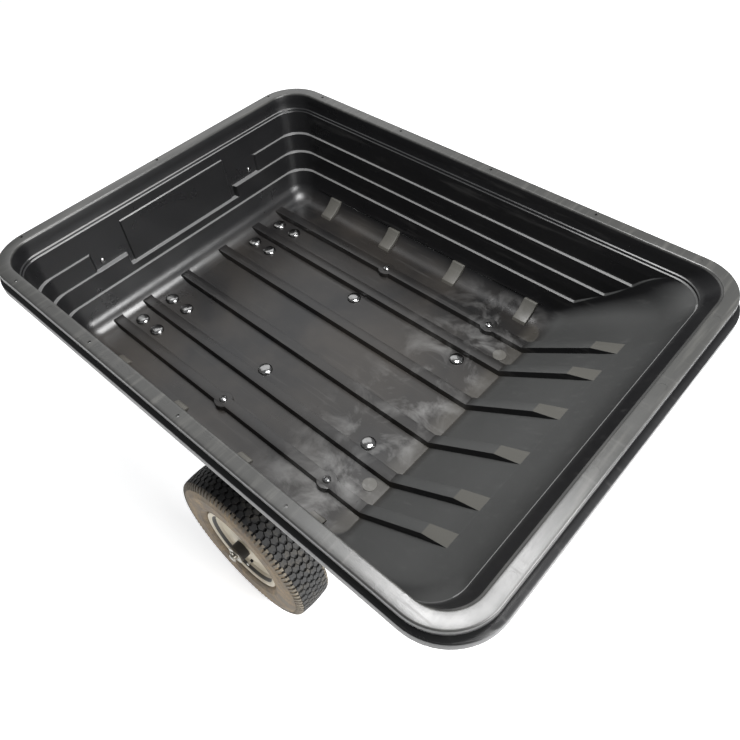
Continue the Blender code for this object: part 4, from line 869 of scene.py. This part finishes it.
def band(x, side):
    """A raised band across the floor-to-side curve, flatter than the curve."""
    center = (HALF_WIDTH - floor_inset(), FLOOR_Z + FLOOR_FILLET)
    proud, sunk = [], []
    turns = fillet_turns()
    for i in range(BAND_TOP_STEP, FILLET_STEPS):
        t = (turns[i] + turns[i + 1]) / 2
        bulge = math.sin(math.pi * (i + 0.5) / FILLET_STEPS)
        raised = BAND_END_RAISE + (BAND_RAISE - BAND_END_RAISE) * bulge
        for run, radius in ((proud, FLOOR_FILLET - raised), (sunk, FLOOR_FILLET + RIB_SINK)):
            run.append((center[0] + radius * math.cos(t), center[1] - radius * math.sin(t)))
    toe = (proud[-1][0] - BAND_END_RAISE, FLOOR_Z - RIB_SINK)
    outline = [(side * y, z) for y, z in proud + [toe] + sunk[::-1]]
    ends = (x + AXLE_X - BAND_WIDTH / 2, x + AXLE_X + BAND_WIDTH / 2)
    return loft([[(end, y, z) for y, z in outline] for end in ends])


def raised_forms(rows):
    """Ribs, bosses, bands and discs that are joined to the shell."""
    made = []
    for y in rows:
        bar = rib(y, -RIB_SINK, RIB_HEIGHT, RIB_FOOT_HALF, RIB_TOP_HALF,
                  RIB_REAR_END, RIB_END_RISE, RIB_END_HALF)
        made.append(bake(bevel(finish(bar), RIB_BEVEL, 3)))
    for x in (BRACKET_BOLT_REACH, -BRACKET_BOLT_REACH):
        for side in (1, -1):
            low, high = FLOOR_Z - RIB_SINK, FLOOR_Z + RIB_HEIGHT - BOSS_STEP
            boss = post(BOSS_RADIUS, low, high, x + AXLE_X, side * RIB_PLACES[2], 40)
            made.append(bake(bevel(boss, BOSS_BEVEL, 3)))
    for side in (1, -1):
        for i in range(BAND_COUNT):
            strip = bevel(band(BAND_FRONT - i * BAND_PITCH, side), BAND_BEVEL, 3, 40.0)
            # The bands get the lighter plastic, partly as a painted light for the light their
            # flatter faces catch
            made.append(finish(bake(strip), MATT_AND_LIGHT_SLOT))
        x, y = DISC_PLACE
        disc = post(DISC_RADIUS, FLOOR_Z - DISC_SINK, FLOOR_Z + DISC_RAISE, x + AXLE_X,
                    side * y, 40)
        made.append(finish(bake(bevel(disc, DISC_BEVEL, 2)), MATT_AND_LIGHT_SLOT))
    return made


def cut_forms(rows):
    """Mould marks, bolt seats, the hollows under the ribs and the rim's holes."""
    made = []
    for x, y in MARKS:
        made.append(post(MARK_RADIUS, RIM_HEIGHT - MARK_DEPTH, RIM_HEIGHT + MARK_CLEAR,
                         x + AXLE_X, y, 28))
    for name in sorted(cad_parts):
        if name.startswith("front_bolt"):
            low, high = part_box(name)
            x, y = (low[0] + high[0]) / 2, (low[1] + high[1]) / 2
            made.append(post(WIDE_HEAD_RADIUS + HEAD_GAP, FLOOR_Z + SEAT_LIFT,
                             FLOOR_Z + SEAT_CUT_HEIGHT, x, y, 48))
    for y in rows:
        made.append(rib(y, -2 * TUB_WALL, RIB_HEIGHT - TUB_WALL, HOLLOW_FOOT_HALF,
                        HOLLOW_TOP_HALF, RIB_REAR_END - RIB_CHAMFER / 2,
                        -TUB_WALL - RIB_SINK, HOLLOW_TOP_HALF))
    holes = [(x, side * HOLE_LINE) for x in SIDE_HOLES for side in (1, -1)]
    holes += [(AXLE_TO_FRONT - FRONT_HOLE_INSET, y) for y in FRONT_HOLES]
    for x, y in holes:
        made.append(post(HOLE_RADIUS, RIM_HEIGHT - HOLE_DEPTH, RIM_HEIGHT + HOLE_CLEAR,
                         x + AXLE_X, y, 16))
    return made


def build_tub():
    tub = tub_shell()
    rows = [side * y for y in RIB_PLACES for side in (1, -1)]
    combine(tub, raised_forms(rows), "UNION")
    combine(tub, cut_forms(rows), "DIFFERENCE")
    dress(tub, "moulded_tub", "bed", [], ("tub",), 20.0)


# Bolts


def bolt_mesh(head, height, grip, dimple=False):
    """A domed carriage bolt along Z with its seat at 0, and a chamfered hexagon nut below."""
    bm = bmesh.new()
    lip = height * 0.15
    if dimple:
        profile = [(SHANK * 0.9, height * 0.45), (SHANK * 1.2, height * 0.95)]
    else:
        profile = [(0.0004, height)]
    for k in range(4 if dimple else 2, 10):
        a = QUARTER * k / 10
        profile.append((head * math.sin(a), lip + (height - lip) * math.cos(a) ** 0.8))
    top, low = -grip - RUN_GAP, -grip - NUT_HEIGHT
    profile += [(head, lip), (head, RUN_GAP), (SHANK, RUN_GAP), (SHANK, low - 0.0001)]
    for k in range(6):
        profile.append((SHANK * (0.9 if k % 2 else 1.0), low - BOLT_TAIL * (k + 0.5) / 6))
    profile.append((SHANK * 0.8, low - BOLT_TAIL))
    skin(bm, stack(profile, 36))
    nut = [
        (NUT_RADIUS * 0.90, top), (NUT_RADIUS, top - NUT_CHAMFER),
        (NUT_RADIUS, low + NUT_CHAMFER), (NUT_RADIUS * 0.90, low)]
    skin(bm, stack(nut, 6))
    return solid(bm)


def build_bolts():
    for name in sorted(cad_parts):
        if not name.startswith(("front_bolt", "middle_bolt", "boss_bolt")):
            continue
        low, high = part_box(name)
        boss = name.startswith("boss")
        head, height, seat = WIDE_HEAD_RADIUS, WIDE_HEAD_HEIGHT, FLOOR_Z
        if boss:
            head, height, seat = BOSS_HEAD_RADIUS, BOSS_HEAD_HEIGHT, FLOOR_Z + RIB_HEIGHT
        obj = bolt_mesh(head, height, seat - low[2] - NUT_HEIGHT - BOLT_TAIL, boss)
        obj.location = ((low[0] + high[0]) / 2, (low[1] + high[1]) / 2, seat)
        dress(obj, name + "_domed", "bed", [BOLT_ZINC], (name,))
    tilt = math.atan(WALL_DRAFT) - QUARTER
    face = AXLE_TO_FRONT - wall_inset(WALL_BOLT_DROP) + STEP_WIDTH
    for word, side in (("left", 1), ("right", -1)):
        obj = bolt_mesh(WALL_HEAD_RADIUS, WALL_HEAD_HEIGHT, WALL_BOLT_GRIP)
        obj.location = (face + AXLE_X, side * WALL_BOLT_SIDE, RIM_HEIGHT - WALL_BOLT_DROP)
        obj.rotation_euler = (0.0, tilt, 0.0)
        dress(obj, f"wall_bolt_{word}_domed", "bed", [BOLT_ZINC], (f"wall_bolt_{word}",))


# Wheels


def crown(y):
    """Radius of the tread's face."""
    return TYRE_RADIUS - TREAD_CROWN * (y / TREAD_HALF) ** 2


def on_wheel(angle, r, y):
    return Vector((r * math.cos(angle), y, r * math.sin(angle)))


def tyre_carcass(bm):
    """The tyre without its tread blocks and fins."""
    outside = list(TYRE_SIDE) + [TYRE_MIDDLE] + mirrored(TYRE_SIDE)
    inside = [(r, -y) for r, y in TYRE_INSIDE] + list(TYRE_INSIDE[-2::-1])
    for face in turned(bm, outside + inside, TYRE_SIDES):
        low = min(math.hypot(v.co.x, v.co.z) for v in face.verts)
        # Tread faces between the blocks get the near-black rubber as painted shade; the rest is
        # sidewall rubber
        face.material_index = 3 if low > GROOVE_START else 1


def tread_blocks(bm):
    """Five staggered rows of notched blocks around the tread."""
    pitch = 2 * math.pi / BLOCK_COLUMNS
    wide, long = TYRE_RADIUS * pitch / 2 - BLOCK_GAP, BLOCK_HALF_LENGTH
    nick, short = wide * BLOCK_NOTCH, long * BLOCK_SHOULDER
    shape = (
        (0.0, long), (wide, short), (nick, 0.0), (wide, -short),
        (0.0, -long), (-wide, -short), (-nick, 0.0), (-wide, short))
    for row in range(-2, 3):
        for column in range(BLOCK_COLUMNS):
            center = pitch * (column + (0.5 if row % 2 else 0.0))
            rings = []
            for scale, lift in BLOCK_LAYERS:
                ring = []
                for c, y in shape:
                    across = row * BLOCK_ROW + y * scale
                    turn = center + c * scale / TYRE_RADIUS
                    ring.append(on_wheel(turn, crown(across) + lift, across))
                rings.append(ring)
            skin(bm, rings)


def shoulder_fins(bm):
    for end in (1, -1):
        for k in range(FIN_COUNT):
            angle = 2 * math.pi * (k + 0.25) / FIN_COUNT
            rings = []
            for i, (r, y) in enumerate(FIN_PATH):
                half = (FIN_HALF_WIDTH - FIN_TAPER * i) / TYRE_RADIUS
                deep_r, deep_y = FIN_ROOT if i < len(FIN_PATH) - 1 else FIN_END_ROOT
                top, root = (r, end * y), (r - deep_r, end * (y - deep_y))
                rings.append((
                    on_wheel(angle - half, *top), on_wheel(angle + half, *top),
                    on_wheel(angle + half, *root), on_wheel(angle - half, *root)))
            skin(bm, rings, mark=2)


def tyre_mesh():
    bm = bmesh.new()
    tyre_carcass(bm)
    tread_blocks(bm)
    shoulder_fins(bm)
    return solid(bm)


def rim_profile():
    """Section of rim and disc in one: round the outside, then back along the inside."""
    out, well_inside = BEAD_HALF_WIDTH, WELL_RADIUS - RIM_SHEET
    inside, back, face = BEAD_RADIUS - RIM_SHEET, DISC_OUT - DISC_DISH, DISC_OUT + RIM_SHEET
    front = face - DISC_DISH
    lip = [(0.1052, out + 0.0020), (0.1085, out + 0.0030)]
    outside = [
        (0.1128, out + 0.0027), (0.1136, out + 0.0012), (0.1128, out - 0.0002),
        (0.1085, out - 0.0006), (0.1030, out - 0.0030), (BEAD_RADIUS, out - 0.0060),
        (BEAD_RADIUS, SEAT_HALF), (WELL_RADIUS, WELL_HALF)]
    return outside + mirrored(outside) + mirrored(lip) + [
        (0.1005, -out + 0.0010), (inside, -out + 0.0050), (inside, -SEAT_INSIDE_HALF),
        (well_inside, -WELL_INSIDE_HALF), (well_inside, WELL_INSIDE_HALF),
        (inside, SEAT_INSIDE_HALF), (inside, DISC_OUT - 0.0010), (0.0930, DISC_OUT - 0.0040),
        (0.0800, back), (0.0560, back), (0.0480, DISC_OUT), (HUB_RADIUS, DISC_OUT),
        (HUB_RADIUS, face), (0.0490, face), (0.0575, front), (0.0790, front),
        (0.0920, face - 0.0035), (inside - 0.0015, face + 0.0020), (inside, out - 0.0030),
        (0.1010, out)] + lip


def rim_mesh(side):
    """Rim and disc in one section, with the hub tube as a darker part of its own and a painted
    shade on the barrel's deep inner wall.
    """
    bm = bmesh.new()
    face = DISC_OUT + RIM_SHEET
    # Faces deep in the barrel, between the flange and the disc, get a dark paint as painted shade
    for part in turned(bm, [(r, side * y) for r, y in rim_profile()], 96):
        middle = part.calc_center_median()
        deep = BEAD_RADIUS - BARREL_DEPTH < math.hypot(middle.x, middle.z) < BEAD_RADIUS
        along = face + BARREL_MARGIN < side * middle.y < BEAD_HALF_WIDTH - BARREL_MARGIN
        if deep and along:
            part.material_index = 2
    outer, bore = HUB_RADIUS - 0.0001, HUB_RADIUS - HUB_WALL
    turned(bm, [(outer, -HUB_HALF), (bore, -HUB_HALF), (bore, HUB_HALF), (outer, HUB_HALF)], 48, 1)
    bead = []
    for k in range(9):
        a = QUARTER * k / 8
        reach, rise = HUB_BEAD * (1 - math.sin(a)), HUB_BEAD * (1 - math.cos(a))
        bead.append((HUB_RADIUS + reach, side * (face + rise)))
    turned(bm, bead + [(HUB_RADIUS - 0.001, side * (face - 0.001))], 48)
    return solid(bm)


def bush_mesh(sign):
    """A bearing's flange on the end of the hub tube and its sleeve inside."""
    bm = bmesh.new()
    bore, sleeve = AXLE_RADIUS + BUSH_CLEARANCE, HUB_RADIUS - BUSH_SLEEVE
    profile = (
        (bore, 0.0022), (bore + 0.0005, BUSH_FACE), (HUB_RADIUS - 0.0006, BUSH_FACE),
        (HUB_RADIUS, 0.0021), (HUB_RADIUS, 0.0), (sleeve, 0.0), (sleeve, -BUSH_DEPTH),
        (bore, -BUSH_DEPTH))
    turned(bm, [(r, sign * (HUB_HALF + RUN_GAP + y)) for r, y in profile], 48)
    return solid(bm)


def valve_mesh():
    """A valve stem along Z with a ribbed cap."""
    bm = bmesh.new()
    skin(bm, stack(VALVE_STEM, VALVE_SIDES))
    rings = stack(VALVE_CAP, VALVE_SIDES)
    for ring in rings[1:3]:
        for k in range(0, VALVE_SIDES, 2):
            x, y, z = ring[k]
            ring[k] = (x * 0.9, y * 0.9, z)
    skin(bm, rings, mark=1)
    return solid(bm)


def build_wheel(word, side):
    hub = Vector((AXLE_X, side * TRACK_HALF, AXLE_Z))
    body = f"wheel_{word}"
    tyre = tyre_mesh()
    tyre.location = hub
    dress(tyre, f"turf_tyre_{word}", body, [TREAD, SIDEWALL, SHOULDER, GROOVE_PAINTED_SHADE],
          (f"tyre_{word}",))
    rim = rim_mesh(side)
    rim.location = hub
    dress(rim, f"pressed_rim_{word}", body, [WHEEL_PAINT, HUB_PAINT, PAINTED_BARREL_SHADE],
          (f"wheel_rim_{word}",))
    for end, sign in (("outer", side), ("inner", -side)):
        bearing = bush_mesh(sign)
        bearing.location = hub
        name = f"hub_bearing_{word}_{end}"
        dress(bearing, name + "_bush", body, [BEARING], (name,))
    valve = valve_mesh()
    spot = on_wheel(VALVE_ANGLE, VALVE_REACH, side * (DISC_OUT + RIM_SHEET - VALVE_SINK))
    valve.location = hub + spot
    valve.rotation_euler = (-side * QUARTER, 0.0, 0.0)
    dress(valve, f"valve_{word}", body, [RUBBER, ZINC], (f"valve_stem_{word}",))


# Axle, spacers, washers and cotters


def axle_mesh():
    bm = bmesh.new()
    end = HUB_END + WASHER_THICKNESS + AXLE_TAIL
    edge = [(AXLE_RADIUS - AXLE_CHAMFER, end), (AXLE_RADIUS, end - AXLE_CHAMFER)]
    skin(bm, [[(x, y, z) for x, z in circle(r, 40)] for r, y in edge + mirrored(edge)])
    return solid(bm)


def ring_mesh(profile):
    bm = bmesh.new()
    turned(bm, profile, 48)
    return solid(bm)


def cotter_mesh(y):
    """A cotter of round wire through the axle's end: a loop on top and one bent leg below."""
    loop, reach = COTTER_LOOP, COTTER_REACH
    points = []
    for a in [math.pi * (1.6 - 0.1 * k) for k in range(17)]:
        points.append((loop * math.sin(a), y, reach + loop * (1 - math.cos(a))))
    points += [(0.0, y, z * 0.001) for z in (12, 6, 0, -6, -12, -15)]
    points += [(-0.0012, y, -0.0168), (-loop, y, -reach - loop)]
    return tube(points, COTTER_WIRE, 10)


def build_axle_pieces():
    bore = AXLE_RADIUS + AXLE_CLEARANCE
    pieces = [(axle_mesh(), "axle_bar", "axle")]
    for word, side in (("left", 1), ("right", -1)):
        low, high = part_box(f"axle_spacer_{word}")
        start, stop = low[1], high[1]
        spacer = [(bore, start), (SPACER_RADIUS, start), (SPACER_RADIUS, stop), (bore, stop)]
        face, back = side * (HUB_END + RUN_GAP), side * (HUB_END + RUN_GAP + WASHER_THICKNESS)
        bevelled = WASHER_BEVEL * side
        washer = [
            (bore, face), (WASHER_RADIUS - 0.0003, face), (WASHER_RADIUS, face + bevelled),
            (WASHER_RADIUS, back - bevelled), (WASHER_RADIUS - 0.0004, back), (bore, back)]
        for name, profile in ((f"axle_spacer_{word}", spacer), (f"axle_washer_{word}", washer)):
            pieces.append((ring_mesh(profile), name + "_turned", name))
        name = f"axle_cotter_{word}"
        y = side * (HUB_END + WASHER_THICKNESS + COTTER_OUT)
        pieces.append((cotter_mesh(y), name + "_wire", name))
    for obj, name, node_name in pieces:
        obj.location = (AXLE_X, 0.0, AXLE_Z)
        dress(obj, name, "chassis", [DULL_ZINC], (node_name,))


# Pieces that keep their CAD solids


def dress_cad():
    groups = (
        (STEEL, STEEL_BEVEL, (
            "axle_bracket_left", "axle_bracket_right", "front_crossbar", "front_strap_left",
            "front_strap_right", "latch_striker", "tongue", "tongue_brace_left",
            "tongue_brace_right", "hitch_strap_upper", "hitch_strap_lower", "latch_stand",
            "latch_lever")),
        (RUBBER, SMALL_BEVEL, ("latch_grip",)),
        (ZINC, SMALL_BEVEL, (
            "latch_spring", "hitch_pin", "hair_cotter", "latch_pivot_bolt", "brace_bolt",
            "hitch_bolt_rear", "hitch_bolt_front", "stand_bolt_rear", "stand_bolt_front")),
    )
    for coat, width, names in groups:
        for name in names:
            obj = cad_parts[name]
            for entry in obj.material_slots:
                entry.material = coat
            bevel(obj, width, 2, 40.0)


# Stage


def area_light(name, place, size, power):
    light = bpy.data.lights.new(name, "AREA")
    light.shape = "RECTANGLE"
    light.size, light.size_y = size
    light.energy = power
    holder = bpy.data.objects.new(name, light)
    holder.location = place
    aim = Vector(LIGHT_TARGET) - Vector(place)
    holder.rotation_euler = aim.to_track_quat("-Z", "Y").to_euler()
    bpy.context.scene.collection.objects.link(holder)


def build_stage():
    bm = bmesh.new()
    for x, y in ((-1, -1), (1, -1), (1, 1), (-1, 1)):
        bm.verts.new((x * STAGE_HALF, y * STAGE_HALF, 0.0))
    bm.faces.new(bm.verts)
    mesh = bpy.data.meshes.new("studio_floor")
    bm.to_mesh(mesh)
    bm.free()
    floor = bpy.data.objects.new("studio_floor", mesh)
    bpy.context.scene.collection.objects.link(floor)
    made, tree, shader, where = material("studio_white", STAGE_TONES[0], Roughness=0.8)
    tree.links.new(mix(tree, noise(tree, where, 3.0), *STAGE_TONES), shader.inputs["Base Color"])
    shader.inputs["Emission Color"].default_value = (1.0, 1.0, 1.0, 1.0)
    shader.inputs["Emission Strength"].default_value = STAGE_GLOW
    mesh.materials.append(made)
    world = bpy.data.worlds.new("studio")
    world.use_nodes = True
    background = world.node_tree.nodes["Background"]
    background.inputs["Color"].default_value = WORLD_COLOR
    background.inputs["Strength"].default_value = WORLD_STRENGTH
    bpy.context.scene.world = world
    for light in LIGHTS:
        area_light(*light)


def build_camera():
    camera = bpy.data.cameras.new("camera")
    camera.sensor_fit = "HORIZONTAL"
    camera.sensor_width = CAMERA_SENSOR
    camera.lens = CAMERA_LENS
    camera.shift_x, camera.shift_y = CAMERA_SHIFT
    camera.clip_start = 0.05
    holder = bpy.data.objects.new("camera", camera)
    turn = Matrix((CAMERA_RIGHT, CAMERA_UP, CAMERA_BACK)).transposed()
    holder.matrix_world = Matrix.Translation(CAMERA_PLACE) @ turn.to_4x4()
    bpy.context.scene.collection.objects.link(holder)
    bpy.context.scene.camera = holder
    bpy.context.scene.view_settings.view_transform = "Standard"


build_tub()
build_bolts()
for word, side in (("left", 1), ("right", -1)):
    build_wheel(word, side)
build_axle_pieces()
dress_cad()
build_stage()
build_camera()
